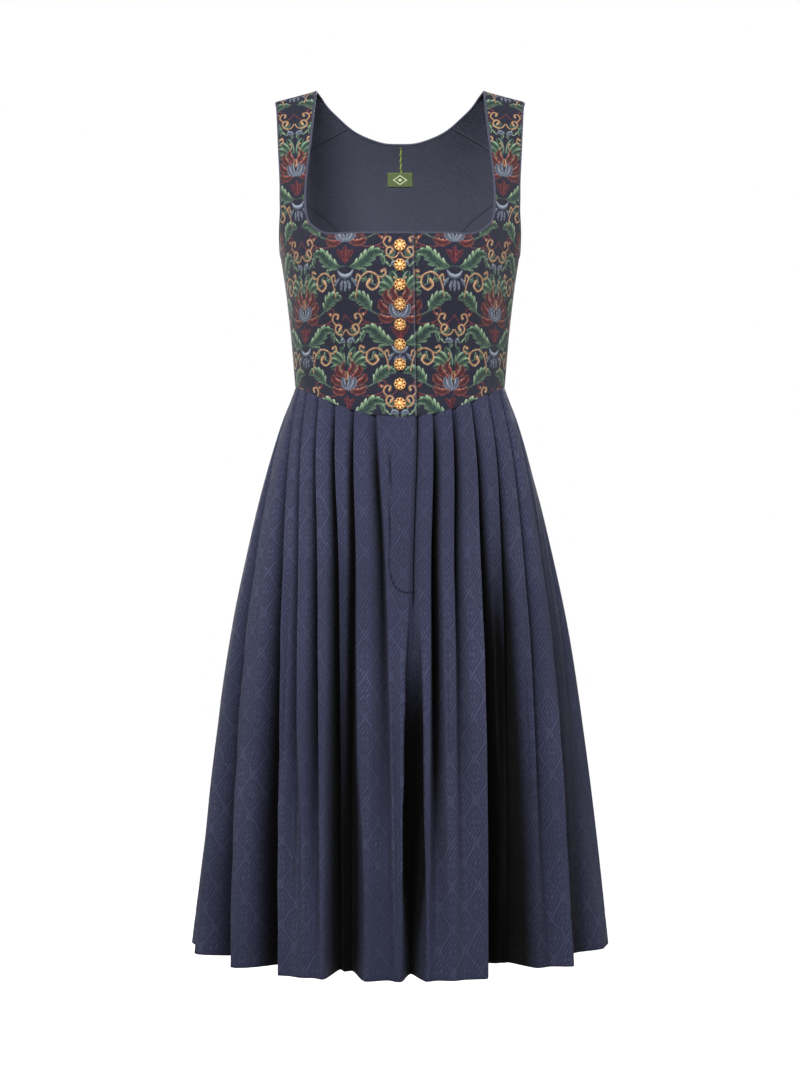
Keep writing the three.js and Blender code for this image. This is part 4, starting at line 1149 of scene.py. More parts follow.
def backSidePatch(spacing):
    seamTurn = edges["princessSeam"][-1][0]

    def seam(v):
        turn, along = edgeAt("princessSeam", 1 - np.asarray(v, float))
        atWaist = np.asarray(v) <= 1e-9
        return np.where(atWaist, seamTurn, turn), np.where(atWaist, waistAlong(seamTurn, True), along)

    return coons(
        lambda u: (mixed(seamTurn, 90, u), waistAlong(mixed(seamTurn, 90, u), True)),
        lambda u: edgeAt("backArmhole", mixed(armholePrincess, 0, u)),
        seam,
        lambda v: (90 + 0 * v, mixed(waistAlong(90, True), armholeFoot, v)),
        stepsOf("sideBackWide", spacing), stepsOf("sideBackTall", spacing))


def wholeBack(spacing, flip):
    sheet = newSheet(1)
    turn, along = backCentrePatch(spacing)
    addPatch(sheet, (turn, along), True, flip=flip)
    addPatch(sheet, (-turn, along), True, flip=not flip)
    return sheet


def buildBacks():
    step = bodice["backStep"]
    seams = [princessLine(1), princessLine(-1), strapSeam(1), strapSeam(-1), waistLine(1, True, -20, 20)]
    bodiceSheet("bodiceBackCentre", "back_centre", wholeBack(step, True), seams)
    for word, side, columns in sides:
        sheet = newSheet(side)
        addPatch(sheet, backSidePatch(step), True, flip=side > 0)
        seams = [princessLine(side), sideSeam(side), waistLine(side, True, 15, 90)]
        bodiceSheet("bodiceBackSide" + word, "back_side_" + word.lower(), sheet, seams,
                    shift=bodice["sideShift"])


buildFronts()
buildBacks()
print("bodice made")


# Lining: the same panels on their inner side, in the blue cotton
def liningSheet(name, node, sheet):
    turn, along, back, inset = sheetPlaces(sheet)
    side = sheet["side"]
    points = torsoPoint(turn, along, side, back) - torsoNormal(turn, along, side, back) * dress["bodiceCloth"]
    points[:, 1] += inset
    table = [roundFrom(turn, along, each) for each in (roundFront, roundBack)]
    uv = np.column_stack([side * np.where(back, table[1], table[0]), np.where(back, along, -along)])
    first, faces = welded(points, np.concatenate(sheet["faces"]))
    piece = makeMesh(name, points[first], faces, uv=uv[first])
    finishPiece(piece, liningCotton, "jacquard_cotton", node)


def buildLining():
    step = bodice["liningStep"]
    for word, side, columns in sides:
        sheet = newSheet(side)
        frontPatches(sheet, columns(step), step, side > 0)
        liningSheet("liningFront" + word, "front_" + word.lower(), sheet)
    liningSheet("liningBackCentre", "back_centre", wholeBack(step, False))
    for word, side, columns in sides:
        sheet = newSheet(side)
        addPatch(sheet, backSidePatch(step), True, flip=side < 0)
        liningSheet("liningBackSide" + word, "back_side_" + word.lower(), sheet)


buildLining()
print("lining made")


# Skirt
skirtShape = {
    "down": [0, 0.02, 0.056, 0.1, 0.186, 0.273, 0.446, 0.619, 0.792, 1],
    "halfWidth": [131, 136, 146, 156, 173, 187.5, 212.5, 230.5, 245.5, 261],
    "front": [95, 100, 109, 118, 133, 147, 173, 197, 217, 238],
    "back": [82, 88, 99, 111, 130, 146, 171, 190, 204, 217],
}
pleats = {
    "waist": [7.5, 16, 27, 40, 54, 68, 82, 95, 108, 121, 134, 147, 160, 173, 186, 199, 212, 225, 238, 251, 264,
              276, 289, 300, 311.5, 324.6, 336.6, 348.5],
    "hem": [2.7, 9.5, 17, 27, 37.5, 46, 57, 82, 100, 113, 127, 140, 153, 169, 185, 202, 217, 231, 246, 260, 277,
            299, 324.5, 330.5, 337.5, 343.3, 346.7, 357],
    "high": [4, 22, 17, 21, 18, 15, 15, 13, 16, 14, 16, 13, 16, 15, 16, 13, 16, 13, 16, 13, 14, 15, 18, 15, 19,
             23, 19, 14],
    "mid": [8, 36, 18, 38, 32, 20, 28, 16, 26, 20, 30, 18, 28, 22, 26, 18, 30, 18, 28, 18, 20, 30, 40, 18, 28,
            40, 34, 18],
    "low": [45, 5, 3, 88, 72, 20, 64, 6, 46, 10, 56, 5, 50, 24, 44, 6, 54, 8, 50, 6, 10, 58, 75, 3, 4,
            62, 58, 9],
    "set": [0, 0, 0, 76, 22, 0, 36, 0, 4, 0, 8, 0, 0, 0, 0, 3, 0, 6, 0, 0, 0, 0, 0, 0, 0, 52, 0, 0],
}
skirt = {
    "depthAtWaist": 5.0,
    "pleatPlaces": (0, 0.16, 0.45, 1),
    "setPower": 1.6,
    "roundBy": 0.3,
    "wallAtWaist": 0.07,
    "wallAtHem": 0.45,
    "wallPower": 1.5,
    "slopeAtWaist": 0.36,
    "slopeAtHem": 0.55,
    "backBoxPleat": 13,
    "frontBoxPleat": 27,
    "sidePleatLeft": 7,
    "sidePleatRight": 20,
    "columnsPerPleat": 22,
    "rows": 150,
    "length": 680,
    "columnsCrowd": 0.11,
    "hemTurnUp": 35.0,
    "hemStitch": 0.5,
    "hemShade": 0.18,
    "hemReach": 2.5,
    "allowanceIn": 2.7,
    "allowanceUp": 5.0,
    "underEdge": [-0.07, -0.04],
}
softCreases = {
    # soft troughs, or ridges where the depth is negative: place counts pleats round from the opening
    "place": [27.42, 28.1, 27.86, 0.5, 1.62, 2.4, 3.6, 4.55, 5.45, 6.5, 21.6, 22.45, 23.3, 24.5, 25.55, 26.3,
              8.4, 9.6, 11.35, 12.5, 13.5, 14.6, 16.4, 17.5, 19.45],
    "down": [0.68, 0.66, 0.12, 0.80, 0.55, 0.78, 0.50, 0.62, 0.70, 0.40, 0.66, 0.48, 0.80, 0.60, 0.42, 0.82,
             0.60, 0.45, 0.72, 0.50, 0.80, 0.42, 0.66, 0.55, 0.70],
    "reach": [0.34, 0.32, 0.16, 0.28, 0.22, 0.26, 0.20, 0.30, 0.26, 0.30, 0.30, 0.26, 0.24, 0.22, 0.24, 0.20,
              0.34, 0.25, 0.30, 0.36, 0.24, 0.30, 0.28, 0.34, 0.30],
    "width": [0.13, 0.30, 0.05, 0.16, 0.15, 0.14, 0.16, 0.14, 0.16, 0.18, 0.12, 0.16, 0.14, 0.15, 0.16, 0.15,
              0.18, 0.16, 0.20, 0.18, 0.16, 0.18, 0.18, 0.20, 0.18],
    "depth": [8.0, 19.0, -1.2, 6.0, 5.0, 4.0, 6.0, 4.5, 5.0, 4.0, 5.5, 6.5, 5.0, 0.5, 1.0, 4.0,
              5.0, 4.5, 6.0, 4.0, 5.0, 4.0, 6.0, 4.5, 5.0],
    "lean": [0.10, 0.0, 0.0, -0.25, 0.20, -0.15, 0.25, -0.2, 0.2, -0.3, 0.35, -0.25, 0.2, 0.15, -0.2, 0.3,
             0.3, -0.2, 0.2, -0.3, 0.1, 0.3, -0.2, 0.2, -0.3],
}
waistPuckers = {
    "depth": 1.3,
    "width": 0.075,
    "reach": 0.045,
    "middle": (0.42, 0.28, 2.3),
    "size": (0.7, 0.3, 4.1),
    "shortest": 0.6,
    "seamReach": 0.012,
}
placket = {
    # the stitching that ends the opening, seen from the front in x and z
    "stitches": [(-11.5, -440), (-12.2, -500), (-12.4, -560), (-11.8, -598), (-8.6, -610), (-3.5, -618.5),
                 (4, -622.8), (16.5, -623.4)],
    "near": (32, -640),
    "stitchDepth": 1.6,
    "stitchReach": 1.3,
    "stitchShade": 0.7,
    "curveRows": (0.285, 0.332, 0.0019),
    "gapWidth": 0.1,
    "gapShade": 0.95,
    "lapSink": 1.6,
    "underStep": 0.5,
    "openTo": (0.33, 0.36),
    "seamBelow": 0.5,
}
foldShade = {"atWaist": 9.0, "atHem": 44.0, "sharpness": 1.3}
pleatCount = len(pleats["waist"])


def skirtAt(column, down):
    return tableAt(skirtShape, "down", column, down)


def pleatTurn(down):
    top, hem = 1 / skirtAt("halfWidth", 0.0), 1 / skirtAt("halfWidth", 1.0)
    return (1 / skirtAt("halfWidth", down) - hem) / (top - hem)


def pleatValue(column, index):
    # places are in degrees round the skirt, so they go up by 360 with each turn
    turns = 360 * (index // pleatCount) if column in ("waist", "hem") else 0
    return np.array(pleats[column], float)[index % pleatCount] + turns


def pleatDepth(index, down):
    # a smooth way through each pleat's four depths, from the waist to the hem
    places = skirt["pleatPlaces"]
    depths = [np.full(np.shape(index), skirt["depthAtWaist"])]
    depths += [pleatValue(level, index) for level in ("high", "mid", "low")]
    steps = np.diff(places)
    chords = [(depths[k + 1] - depths[k]) / steps[k] for k in range(3)]
    slopes = [chords[0]]
    for k in (0, 1):
        same = chords[k] * chords[k + 1] > 0
        before, after = (np.where(same, chords[k + j], 1) for j in (0, 1))
        weights = 2 * steps[k + 1] + steps[k], steps[k + 1] + 2 * steps[k]
        slopes.append(np.where(same, sum(weights) / (weights[0] / before + weights[1] / after), 0))
    slopes.append(chords[2])
    made = depths[0] * 0.0
    for k in range(3):
        t = np.clip((down - places[k]) / steps[k], 0, 1)
        rest = 1 - t
        part = (depths[k] * rest * rest * (1 + 2 * t) + depths[k + 1] * t * t * (3 - 2 * t)
                + slopes[k] * steps[k] * t * rest * rest - slopes[k + 1] * steps[k] * t * t * rest)
        made = np.where(down >= places[k] - (k == 0), part, made)
    return made


def foldDepth(index, share, down):
    here, after = pleatDepth(index, down), pleatDepth(index + 1, down)
    back = pleatValue("set", index) * down ** skirt["setPower"]
    wall = mixed(skirt["wallAtWaist"], skirt["wallAtHem"], down ** skirt["wallPower"])
    slope = mixed(skirt["slopeAtWaist"], skirt["slopeAtHem"], down)
    lobe = index % pleatCount
    first = np.where(lobe > skirt["backBoxPleat"], wall, slope)
    last = np.where((lobe < skirt["backBoxPleat"]) | (lobe == skirt["frontBoxPleat"]), wall, slope)
    return (back + (here - back) * (1 - eased(0, 1, share / first))
            + (after - back) * (1 - eased(0, 1, (1 - share) / last)))


def skirtPoint(place, down, fold=None):
    index = np.floor(place + 1e-9).astype(int)
    share = place - index
    turned = pleatTurn(down)
    here = mixed(pleatValue("hem", index), pleatValue("waist", index), turned)
    after = mixed(pleatValue("hem", index + 1), pleatValue("waist", index + 1), turned)
    angle = np.radians(mixed(here, after, share))
    power = 2 / mixed(dress["torsoRoundness"], dress["skirtRoundness"], eased(0, skirt["roundBy"], down))
    sine, cosine = np.sin(angle), np.cos(angle)
    onBack = cosine < 0
    depth = np.where(onBack, skirtAt("back", down), skirtAt("front", down)) * np.abs(cosine) ** power
    x = skirtAt("halfWidth", down) * np.sign(sine) * np.abs(sine) ** power
    y = np.where(onBack, depth, -depth)
    inward = np.stack([-sine * np.abs(sine), cosine])
    inward = inward / np.linalg.norm(inward, axis=0)
    if fold is None:
        fold = foldDepth(index, share, down)
    flat = np.abs(sine) ** (4 / dress["torsoRoundness"])
    dip = np.where(onBack, dress["backWaistDip"], dress["frontWaistDip"])
    top = dress["sideWaistDrop"] + dip * np.maximum(0, 1 - flat) ** dress["waistDipPower"] + dress["waistGap"]
    z = -mixed(top, dress["hemDrop"], down)
    return np.stack([x + inward[0] * fold, y + inward[1] * fold, z], axis=-1)


def skirtNormal(place, down):
    step = 0.01
    around = skirtPoint(place + step, down) - skirtPoint(place - step, down)
    fall = skirtPoint(place, np.minimum(1, down + step)) - skirtPoint(place, np.maximum(0, down - step))
    normal = np.cross(fall, around)
    return normal / np.linalg.norm(normal, axis=-1, keepdims=True)


def creaseDepth(place, down):
    depth = np.zeros(place.shape)
    for at, level, reach, width, deep, lean in zip(*softCreases.values()):
        away = (place - at - lean * (down - level) + pleatCount / 2) % pleatCount - pleatCount / 2
        along = np.clip(1 - ((down - level) / reach) ** 2, 0, 1)
        depth += deep * along ** 1.5 * np.exp(-(away / width) ** 2)
    for i in range(pleatCount):
        # each pucker's place and size: a middle value, how far it swings, and how fast from pleat to pleat
        at, size = (mean + swing * math.sin(pace * i) for mean, swing, pace in
                    (waistPuckers["middle"], waistPuckers["size"]))
        away = (place - (i + at) + pleatCount / 2) % pleatCount - pleatCount / 2
        reach = waistPuckers["reach"] * (waistPuckers["shortest"] + size)
        depth += waistPuckers["depth"] * size * np.exp(-(away / waistPuckers["width"]) ** 2 - (down / reach) ** 2)
    return depth * eased(0, waistPuckers["seamReach"], down)


def placketStitch(points):
    # how close each point of the front is to the stitching of the opening
    beside, lowest = placket["near"]
    close = (np.abs(points[..., 0]) < beside) & (points[..., 1] < 0) & (points[..., 2] > lowest)
    line = smoothLine(placket["stitches"], 260)
    line = np.column_stack([line[:, 0], 0 * line[:, 0], line[:, 1]])
    flat = points[close] * np.array([1, 0, 1])
    stitch = np.zeros(points.shape[:-1])
    stitch[close] = np.exp(-(distanceTo(flat, line) / placket["stitchReach"]) ** 2)
    return stitch


def skirtGrid(first, last):
    # more columns near the folds than on the flat of each pleat, and more rows at the curved stitching
    even = np.linspace(0, 1, skirt["columnsPerPleat"] + 1)[:-1]
    shares = even - skirt["columnsCrowd"] * np.sin(2 * np.pi * even)
    places = np.concatenate([index + shares for index in range(first, last)] + [[last]])
    if first == 0:
        places = np.concatenate([skirt["underEdge"], places])
    rows = np.linspace(0, 1, skirt["rows"] + 1)
    if first == 0 or last == pleatCount:
        rows = np.union1d(rows, np.arange(*placket["curveRows"]))
    turnedUp = 1 - skirt["hemTurnUp"] / (dress["hemDrop"] - dress["sideWaistDrop"])
    inner = np.linspace(1, turnedUp, 5)
    inset = np.concatenate([0 * rows, np.full(len(inner), dress["skirtCloth"])])
    place, down = np.meshgrid(places, np.concatenate([rows, inner]))
    return place, down, np.broadcast_to(inset[:, None], place.shape), turnedUp


def clothRun(points, hemRow, lead):
    # how far round each point is, with each pleat's middle kept upright on the cloth
    run = np.pad(np.cumsum(np.linalg.norm(np.diff(points, axis=1), axis=2), axis=1), ((0, 0), (1, 0)))
    per = skirt["columnsPerPleat"]
    centres = run[:, lead + per // 2::per]
    lobe = np.clip((np.arange(points.shape[1] - 1) - lead) // per, 0, centres.shape[1] - 1)
    return run, centres[:, lobe], centres[hemRow][lobe]


def buildSkirt():
    for name, node, first, last, flat, area in (
        ("skirtFrontLeft", "skirt_front_left", 0, skirt["sidePleatLeft"], (0.53, 0.73), 0.32),
        ("skirtBack", "skirt_back", skirt["sidePleatLeft"], skirt["sidePleatRight"], (1.15, 0.73), 0.67),
        ("skirtFrontRight", "skirt_front_right", skirt["sidePleatRight"], pleatCount, (0.66, 0.73), 0.40),
    ):
        place, down, inset, stitchedAt = skirtGrid(first, last)
        points, normals = skirtPoint(place, down), skirtNormal(place, down)
        index = np.floor(place + 1e-9).astype(int)
        fold = foldDepth(index, place - index, down)
        crease = creaseDepth(place, down)
        stitch = placketStitch(points)
        hemLine = np.exp(-((down - stitchedAt) * skirt["length"] / skirt["hemReach"]) ** 2)
        sunk = crease + placket["stitchDepth"] * stitch + skirt["hemStitch"] * hemLine
        points = points - normals * (sunk + inset)[..., None]
        # painted shade: darker the deeper a place lies in its fold, passed to the material as an attribute
        deepest = mixed(foldShade["atWaist"], foldShade["atHem"], down)
        tuck = np.clip((fold + np.maximum(crease, 0)) / deepest, 0, 1) ** foldShade["sharpness"]
        wrapped = (place + pleatCount / 2) % pleatCount - pleatCount / 2
        if first == 0:
            # the left front is sunk and shaded where it runs under the right front
            gap = np.exp(-(np.maximum(wrapped, 0) / placket["gapWidth"]) ** 2)
            sewn = mixed(1, placket["seamBelow"], eased(*placket["openTo"], down))
            gap = np.where(wrapped < 2, gap * sewn, 0)
            tuck = np.maximum(tuck, placket["gapShade"] * gap)
            under = placket["lapSink"] * gap * eased(0, 0.02, down) + placket["underStep"] * (wrapped < 0)
            points = points - normals * under[..., None]
        # painted shade also along the stitching of the opening and the hem stitching
        tuck = np.maximum(tuck, placket["stitchShade"] * stitch + skirt["hemShade"] * hemLine)
        # the cloth runs on a little way up behind the bodice's edge
        allowance = skirtPoint(place[:1], 0 * down[:1], skirt["allowanceIn"])
        points = np.concatenate([allowance + np.array([0, 0, skirt["allowanceUp"]]), points])
        tuck, inset, place = (np.concatenate([each[:1], each]) for each in (tuck, inset, place))

        # across the cloth runs round the skirt, and up the cloth is the height
        height, width = place.shape
        faces = quadsOf(gridOf(place.shape), turned=True)
        hemRow = int(np.argmax(inset[:, 0] > 0)) - 1
        run, centres, base = clothRun(points, hemRow, len(skirt["underEdge"]) if first == 0 else 0)
        z = points[..., 2]
        uv = np.zeros((height - 1, width - 1, 4, 2))
        for corner, (dr, dc) in enumerate(((0, 0), (1, 0), (1, 1), (0, 1))):
            rows, columns = slice(dr, height - 1 + dr), slice(dc, width - 1 + dc)
            uv[..., corner, 0] = run[rows, columns] - centres[rows] + base
            uv[..., corner, 1] = z[rows, columns]
        piece = makeMesh(name, points.reshape(-1, 3), faces, uv=uv.reshape(-1, 2), extra={"tuck": tuck.ravel()})
        finishPiece(piece, blueCotton, "jacquard_cotton", node)
        print(name, "hem", round(run[hemRow, -1]), "waist", round(run[0, -1]), "faces", len(faces))


buildSkirt()
print("skirt made")


# Buttons: pierced rosettes with rounded petals round a smooth raised middle
rosette = {
    "radius": 7.6,
    "petals": 8,
    "rings": 26,
    "spokes": 108,
    "dome": 2.5,
    "domeReach": 0.42,
    "domeShare": 0.45,
    "domeUp": 1.4,
    "domeLeast": 0.9,
    "petalUp": 1.5,
    "petalRise": 0.55,
    "petalFrom": 0.42,
    "petalLong": 0.58,
    "ditchDepth": 0.5,
    "ditchWide": 0.04,
    "rimFrom": 0.86,
    "rimDrop": 0.55,
    "rimUnder": 0.1,
    "holeAt": 0.7,
    "holeLong": 0.15,
    "holeWide": 0.13,
    "holeDepth": 1.5,
    "scallop": 0.1,
    "count": 9,
    "firstDrop": 208.5,
    "pitch": 23.5,
    "gap": 0.85,
    "spin": 0.35,
}


def rosetteMesh():
    petals = rosette["petals"]
    r, a = np.meshgrid(np.linspace(0, 1, rosette["rings"] + 1),
                       np.linspace(0, 2 * np.pi, rosette["spokes"] + 1)[:-1], indexing="ij")
    lobe = np.abs(np.cos(a * petals / 2))
    reach = rosette["radius"] * r * (1 - rosette["scallop"] * (1 - lobe ** 0.6) * eased(0.6, 1, r))
    dome = rosette["dome"] * np.sqrt(np.maximum(0, 1 - (r / rosette["domeReach"]) ** 2))
    middle = dome * rosette["domeShare"] + rosette["domeUp"]
    outOver = np.clip((r - rosette["petalFrom"]) / rosette["petalLong"], 0, 1)
    ring = rosette["petalUp"] + rosette["petalRise"] * np.sin(outOver * np.pi) * (0.7 + 0.3 * lobe)
    height = np.where(r < rosette["domeReach"], np.maximum(middle, rosette["domeLeast"]), ring)
    fromDitch = (r - rosette["domeReach"] - rosette["ditchWide"]) / rosette["ditchWide"]
    height = height - rosette["ditchDepth"] * np.exp(-fromDitch ** 2)
    turnFromHole = (a * petals / (2 * np.pi) + 0.5) % 1 - 0.5
    sideways = np.abs(turnFromHole) * 2 * np.pi / petals * r
    outward = (r - rosette["holeAt"]) / rosette["holeLong"]
    hole = eased(1.15, 0.8, np.sqrt(outward ** 2 + (sideways / rosette["holeWide"]) ** 2))
    height = (height - rosette["holeDepth"] * hole) * (1 - rosette["rimDrop"] * eased(rosette["rimFrom"], 1.0, r))
    points = np.stack([reach * np.cos(a), reach * np.sin(a), height], axis=-1)
    rim = points[-1].copy()
    rim[:, 2] = rosette["rimUnder"]
    points = np.concatenate([points, rim[None]], axis=0)
    # the holes' mask, which the metal shows as painted shade
    paintedHoleShade = np.concatenate([hole, np.zeros((1, hole.shape[1]))], axis=0)
    return points.reshape(-1, 3), quadsOf(gridOf(points.shape, closed=True), turned=True), paintedHoleShade.ravel()


def buildButtons():
    points, faces, paintedHoleShade = rosetteMesh()
    for i in range(rosette["count"]):
        along = alongAt(rosette["firstDrop"] + rosette["pitch"] * i)
        at, above, below = (torsoPoint(np.array(0.0), np.array(along + way), 1, False) for way in (0, -6, 6))
        lean = math.atan2(below[1] - above[1], above[2] - below[2])
        turned = Matrix.Rotation(math.pi / 2 + lean, 4, "X") @ Matrix.Rotation(rosette["spin"] * i, 4, "Z")
        spun = points @ np.array(turned.to_3x3()).T + np.array([0, at[1] - rosette["gap"], at[2]])
        piece = makeMesh("buttonRosette%d" % (i + 1), spun, faces, extra={"paintedHoleShade": paintedHoleShade})
        finishPiece(piece, giltMetal, "gilt_metal", "button_%d" % (i + 1))


buildButtons()
print("buttons made")

# Trim that is sewn down along the cloth: piping, seams of the lining and the twisted thread
trim = {
    "spacing": 2.0,
    "sides": 10,
    "pipingRadius": 1.5,
    "pipingAway": 1.1,
    "seamWide": 1.5,
    "seamHigh": 0.55,
    "seamAway": 0.15,
    "threadRadius": 0.75,
    "threadTurn": 9.5,
    "threadSwing": 0.7,
    "threadRise": 0.45,
    "threadAway": 0.9,
    "threadX": 0.8,
    "threadStart": 2.0,
}


def edgeLine(parts, side):
    # points and normals of the cloth along an edge, evenly spaced
    points = np.vstack([torsoPoint(turn, along, side, back) for turn, along, back in parts])
    normals = np.vstack([torsoNormal(turn, along, side, back) for turn, along, back in parts])
    run = np.concatenate([[0], np.cumsum(np.linalg.norm(np.diff(points, axis=0), axis=1))])
    even = np.linspace(0, run[-1], int(run[-1] / trim["spacing"]))
    points, normals = (np.column_stack([np.interp(even, run, each[:, k]) for k in range(3)])
                       for each in (points, normals))
    return points, normals / np.linalg.norm(normals, axis=1, keepdims=True)


def softened(values, rounds=6):
    values = values.copy()
    for i in range(rounds):
        values[1:-1] = 0.5 * values[1:-1] + 0.25 * (values[:-2] + values[2:])
    return values


def halfNeck(side):
    startX = -dress["closingEdgeTop"] if side < 0 else dress["closingEdgeTop"] + bodice["lapRamp"]
    x = np.linspace(startX, cornerX, 70)
    along = alongAt(frontNeckDrop(x))
    front = turnAt(x, along), along, False
    t = np.linspace(0, 1, 140)
    return edgeLine([front, (*edgeAt("frontNeck", t), False), (*edgeAt("backNeck", t), True)], side)


def armhole(side):
    t = np.linspace(0, 1, 160)
    return edgeLine([(*edgeAt("frontArmhole", t), False), (*edgeAt("backArmhole", 1 - t), True)], side)


def trimMesh(name, points, normals, high, wide, slot, material, *replaced):
    # a closed tube along a line, round or flattened
    way = np.gradient(points, axis=0)
    beside = np.cross(way, normals)
    beside /= np.linalg.norm(beside, axis=1, keepdims=True)
    angles = np.linspace(0, 2 * np.pi, trim["sides"] + 1)[:-1]
    ring = (points[:, None] + (high * np.cos(angles))[None, :, None] * normals[:, None]
            + (wide * np.sin(angles))[None, :, None] * beside[:, None])
    ids = gridOf(ring.shape)
    faces = quadsOf(gridOf(ring.shape, closed=True)).tolist()
    faces += [ids[0, ::-1].tolist(), ids[-1].tolist()]
    finishPiece(makeMesh(name, ring.reshape(-1, 3), faces), material, slot, *replaced)


def besideEdge(points, normals, sign):
    way = np.gradient(points, axis=0)
    away = sign * np.cross(way, normals)
    away /= np.linalg.norm(away, axis=1, keepdims=True)
    return softened(points + away * trim["pipingAway"] - normals * dress["bodiceCloth"] / 2)


def buildPiping():
    # round the neck from the right front edge to the left one, and round each armhole
    neck = [np.vstack([right, left[-2::-1]]) for right, left in zip(halfNeck(-1), halfNeck(1))]
    runs = [("neckPiping", "neck_piping", neck, 1)]
    for word, side, columns in sides:
        runs.append(("armholePiping" + word, "armhole_piping_" + word.lower(), armhole(side), side))
    radius = trim["pipingRadius"]
    for name, node, (points, normals), sign in runs:
        line = besideEdge(points, normals, sign)
        trimMesh(name, line, normals, radius, radius, "piping", pipingCloth, node)


def buildLiningSeams():
    # the lining's seams: real ridges, in a darker cloth whose colour is painted shade
    u = np.linspace(0, 1, 80)
    for word, side, columns in sides:
        inner, outer = edgeAt("backNeck", strapBackStart), edgeAt("backArmhole", armholeStrapEnd)
        strap = edgeLine([(mixed(inner[0], outer[0], u), mixed(inner[1], outer[1], u), True)], side)
        princess = edgeLine([(*edgeAt("princessSeam", u), True)], side)
        for name, (points, normals) in (("strapSeam", strap), ("princessSeam", princess)):
            line = points - normals * (dress["bodiceCloth"] + trim["seamAway"])
            trimMesh(name + word, line, normals, trim["seamHigh"], trim["seamWide"],
                     "jacquard_cotton", seamShade)


def buildThread():
    # two strands twisted round each other, from the neck down to the tab
    top, low = edges["backNeck"][-1][1] + trim["threadStart"], alongAt(tab["drop"])
    along = np.linspace(top, low, 240)
    turn = turnAt(0 * along + trim["threadX"], along)
    points, normals = (each(turn, along, 1, True) for each in (torsoPoint, torsoNormal))
    phase = (along - top) * 2 * np.pi / trim["threadTurn"]
    middle = points - normals * (dress["bodiceCloth"] + trim["threadAway"])
    radius = trim["threadRadius"]
    for name, start, material in (("greenStrand", 0, greenThread), ("limeStrand", np.pi, limeThread)):
        swing = trim["threadSwing"] * np.cos(phase + start)[:, None] * np.array([[1, 0, 0]])
        rise = trim["threadRise"] * np.sin(phase + start)[:, None] * normals
        trimMesh(name, middle + swing - rise, normals, radius, radius, "woven_tab", material)


# The tab: a small woven strip, its ends stitched down, with a plain lozenge woven in its middle
tab = {
    "width": 33.0,
    "height": 18.0,
    "drop": 88.0,
    "cloth": 0.8,
    "away": 0.5,
    "stitchIn": 1.8,
    "stitchDepth": 0.35,
    "stitchReach": 0.4,
    "columns": 66,
    "rows": 36,
}


def buildTab():
    x, down = np.meshgrid(np.linspace(-0.5, 0.5, tab["columns"] + 1), np.linspace(0, 1, tab["rows"] + 1))
    along = alongAt(tab["drop"] + tab["height"] * down)
    turn = turnAt(x * tab["width"], along)
    base = torsoPoint(turn, along, 1, True)
    normals = torsoNormal(turn, along, 1, True)
    fromEnd = (0.5 - np.abs(x)) * tab["width"]
    fromSide = np.minimum(down, 1 - down) * tab["height"]
    crown = tab["cloth"] * eased(-0.2, 0.7, np.minimum(fromEnd, fromSide))
    crown -= tab["stitchDepth"] * np.exp(-((fromEnd - tab["stitchIn"]) / tab["stitchReach"]) ** 2)
    points = base - normals * (dress["bodiceCloth"] + tab["away"] + crown)[..., None]
    faces = quadsOf(gridOf(x.shape))[:, ::-1]
    start, end = openEdges(faces)
    rim = points.reshape(-1, 3) + normals.reshape(-1, 3) * tab["away"]
    faces = np.vstack([faces, np.stack([end, start, start + x.size, end + x.size], axis=1)])
    uv = np.column_stack([x.ravel() * tab["width"], (0.5 - down).ravel() * tab["height"]])
    piece = makeMesh("neckTab", np.vstack([points.reshape(-1, 3), rim]), faces, uv=np.vstack([uv, uv]))
    finishPiece(piece, tabWeave, "woven_tab", "neck_tab")


buildPiping()
buildLiningSeams()
buildThread()
buildTab()
strip = nodes["placket_underlap"]
strip.data.materials.clear()
strip.data.materials.append(makePipingCloth("underlapCloth", (44, 46, 66), (58, 61, 84)))
print("piping, seams and tab made")


# Camera, floor and light, in metres and watts
view = {
    "distance": 2.7,
    "height": -0.5556,
    "lens": 97.2,
    "sensor": 36,
    "floor": -1.3,
    "floorHalf": 6.0,
    "floorTones": (0.46, 0.50),
    "floorRoughness": 0.9,
    "ambient": 0.13,
    "floorGlow": 0.95,
    "aimHeight": -0.36,
    "lampSpread": 55,
}
lamps = {
    "keyLight": {"place": (-0.7, -2.6, 0.95), "size": 1.2, "power": 14.5},
    "fillLight": {"place": (1.3, -2.6, 0.35), "size": 2.0, "power": 8.5},
    "backLight": {"place": (0.7, 2.6, 0.95), "size": 1.2, "power": 14.5},
    "backFill": {"place": (-1.3, 2.6, 0.35), "size": 2.0, "power": 8.5},
    "rightLight": {"place": (-2.7, 0.7, 0.5), "size": 1.6, "power": 6},
    "leftLight": {"place": (2.7, 0.7, 0.5), "size": 1.6, "power": 6},
}
white = (1, 1, 1, 1)


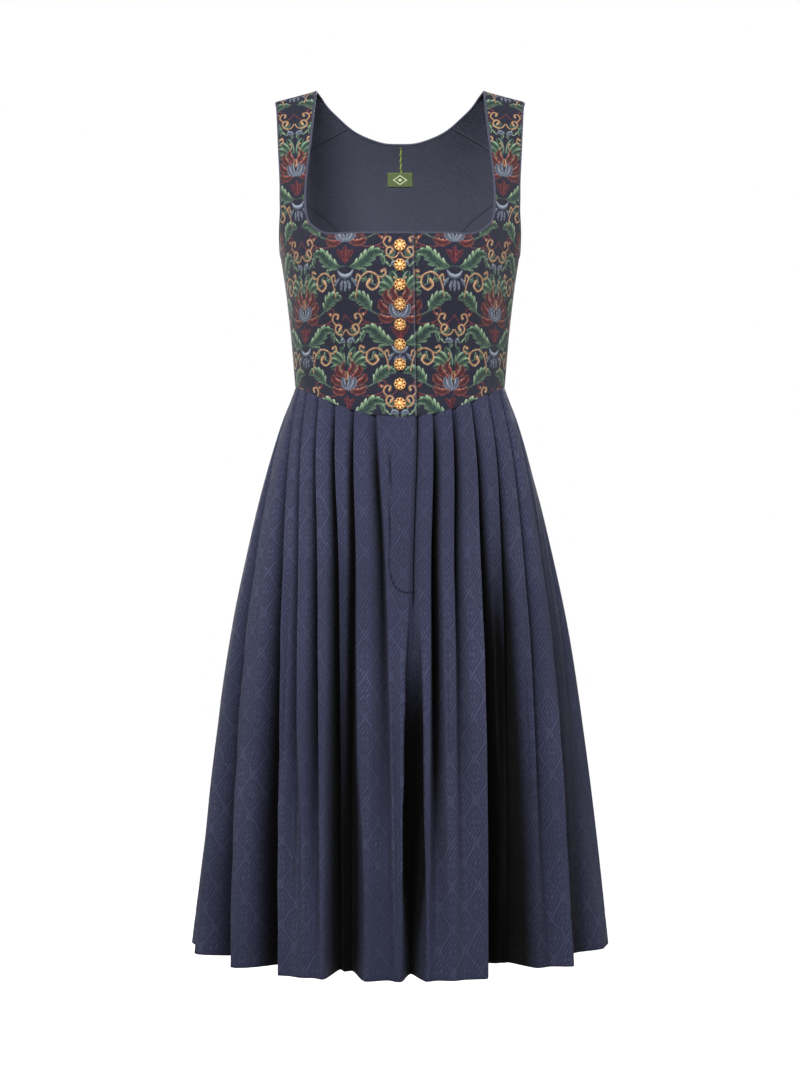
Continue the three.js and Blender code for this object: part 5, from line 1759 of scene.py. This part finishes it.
def buildCamera():
    lens = bpy.data.cameras.new("studioCamera")
    lens.lens, lens.sensor_width, lens.sensor_fit = view["lens"], view["sensor"], "HORIZONTAL"
    camera = bpy.data.objects.new("studioCamera", lens)
    camera.location = (0, -view["distance"], view["height"])
    camera.rotation_euler = (math.pi / 2, 0, 0)
    bpy.context.scene.collection.objects.link(camera)
    bpy.context.scene.camera = camera


def buildFloor():
    corners = np.array([(-1, -1, 0), (1, -1, 0), (1, 1, 0), (-1, 1, 0)], float) * view["floorHalf"] / mm
    floor = makeMesh("studioFloor", corners, np.array([[0, 1, 2, 3]]))
    floor.location.z = view["floor"]
    material, tree, shader = newMaterial("paleFloor")
    tone = noiseNode(tree, objectVector(tree), 3.0)
    low, high = ((grey, grey, grey, 1) for grey in view["floorTones"])
    link(tree, mixNode(tree, tone, low, high), shader.inputs["Base Color"])
    shader.inputs["Roughness"].default_value = view["floorRoughness"]
    seen = tree.nodes.new("ShaderNodeLightPath").outputs["Is Camera Ray"]
    shader.inputs["Emission Color"].default_value = white
    link(tree, times(tree, seen, view["floorGlow"]), shader.inputs["Emission Strength"])
    floor.data.materials.append(material)


def buildLight():
    world = bpy.data.worlds.new("studioWorld")
    world.use_nodes = True
    sky = world.node_tree
    seen = sky.nodes.new("ShaderNodeLightPath").outputs["Is Camera Ray"]
    glow = plus(sky, times(sky, seen, 1.0 - view["ambient"]), view["ambient"])
    sky.nodes["Background"].inputs["Color"].default_value = white
    link(sky, glow, sky.nodes["Background"].inputs["Strength"])
    bpy.context.scene.world = world
    for name, given in lamps.items():
        lamp = bpy.data.lights.new(name, "AREA")
        lamp.size, lamp.energy = given["size"], given["power"]
        lamp.spread = math.radians(view["lampSpread"])
        lit = bpy.data.objects.new(name, lamp)
        lit.location = given["place"]
        lit.visible_camera = False
        aim = Vector((0, 0, view["aimHeight"])) - Vector(given["place"])
        lit.rotation_euler = aim.to_track_quat("-Z", "Y").to_euler()
        bpy.context.scene.collection.objects.link(lit)
    bpy.context.scene.view_settings.view_transform = "Standard"


buildCamera()
buildFloor()
buildLight()
print("studio made")
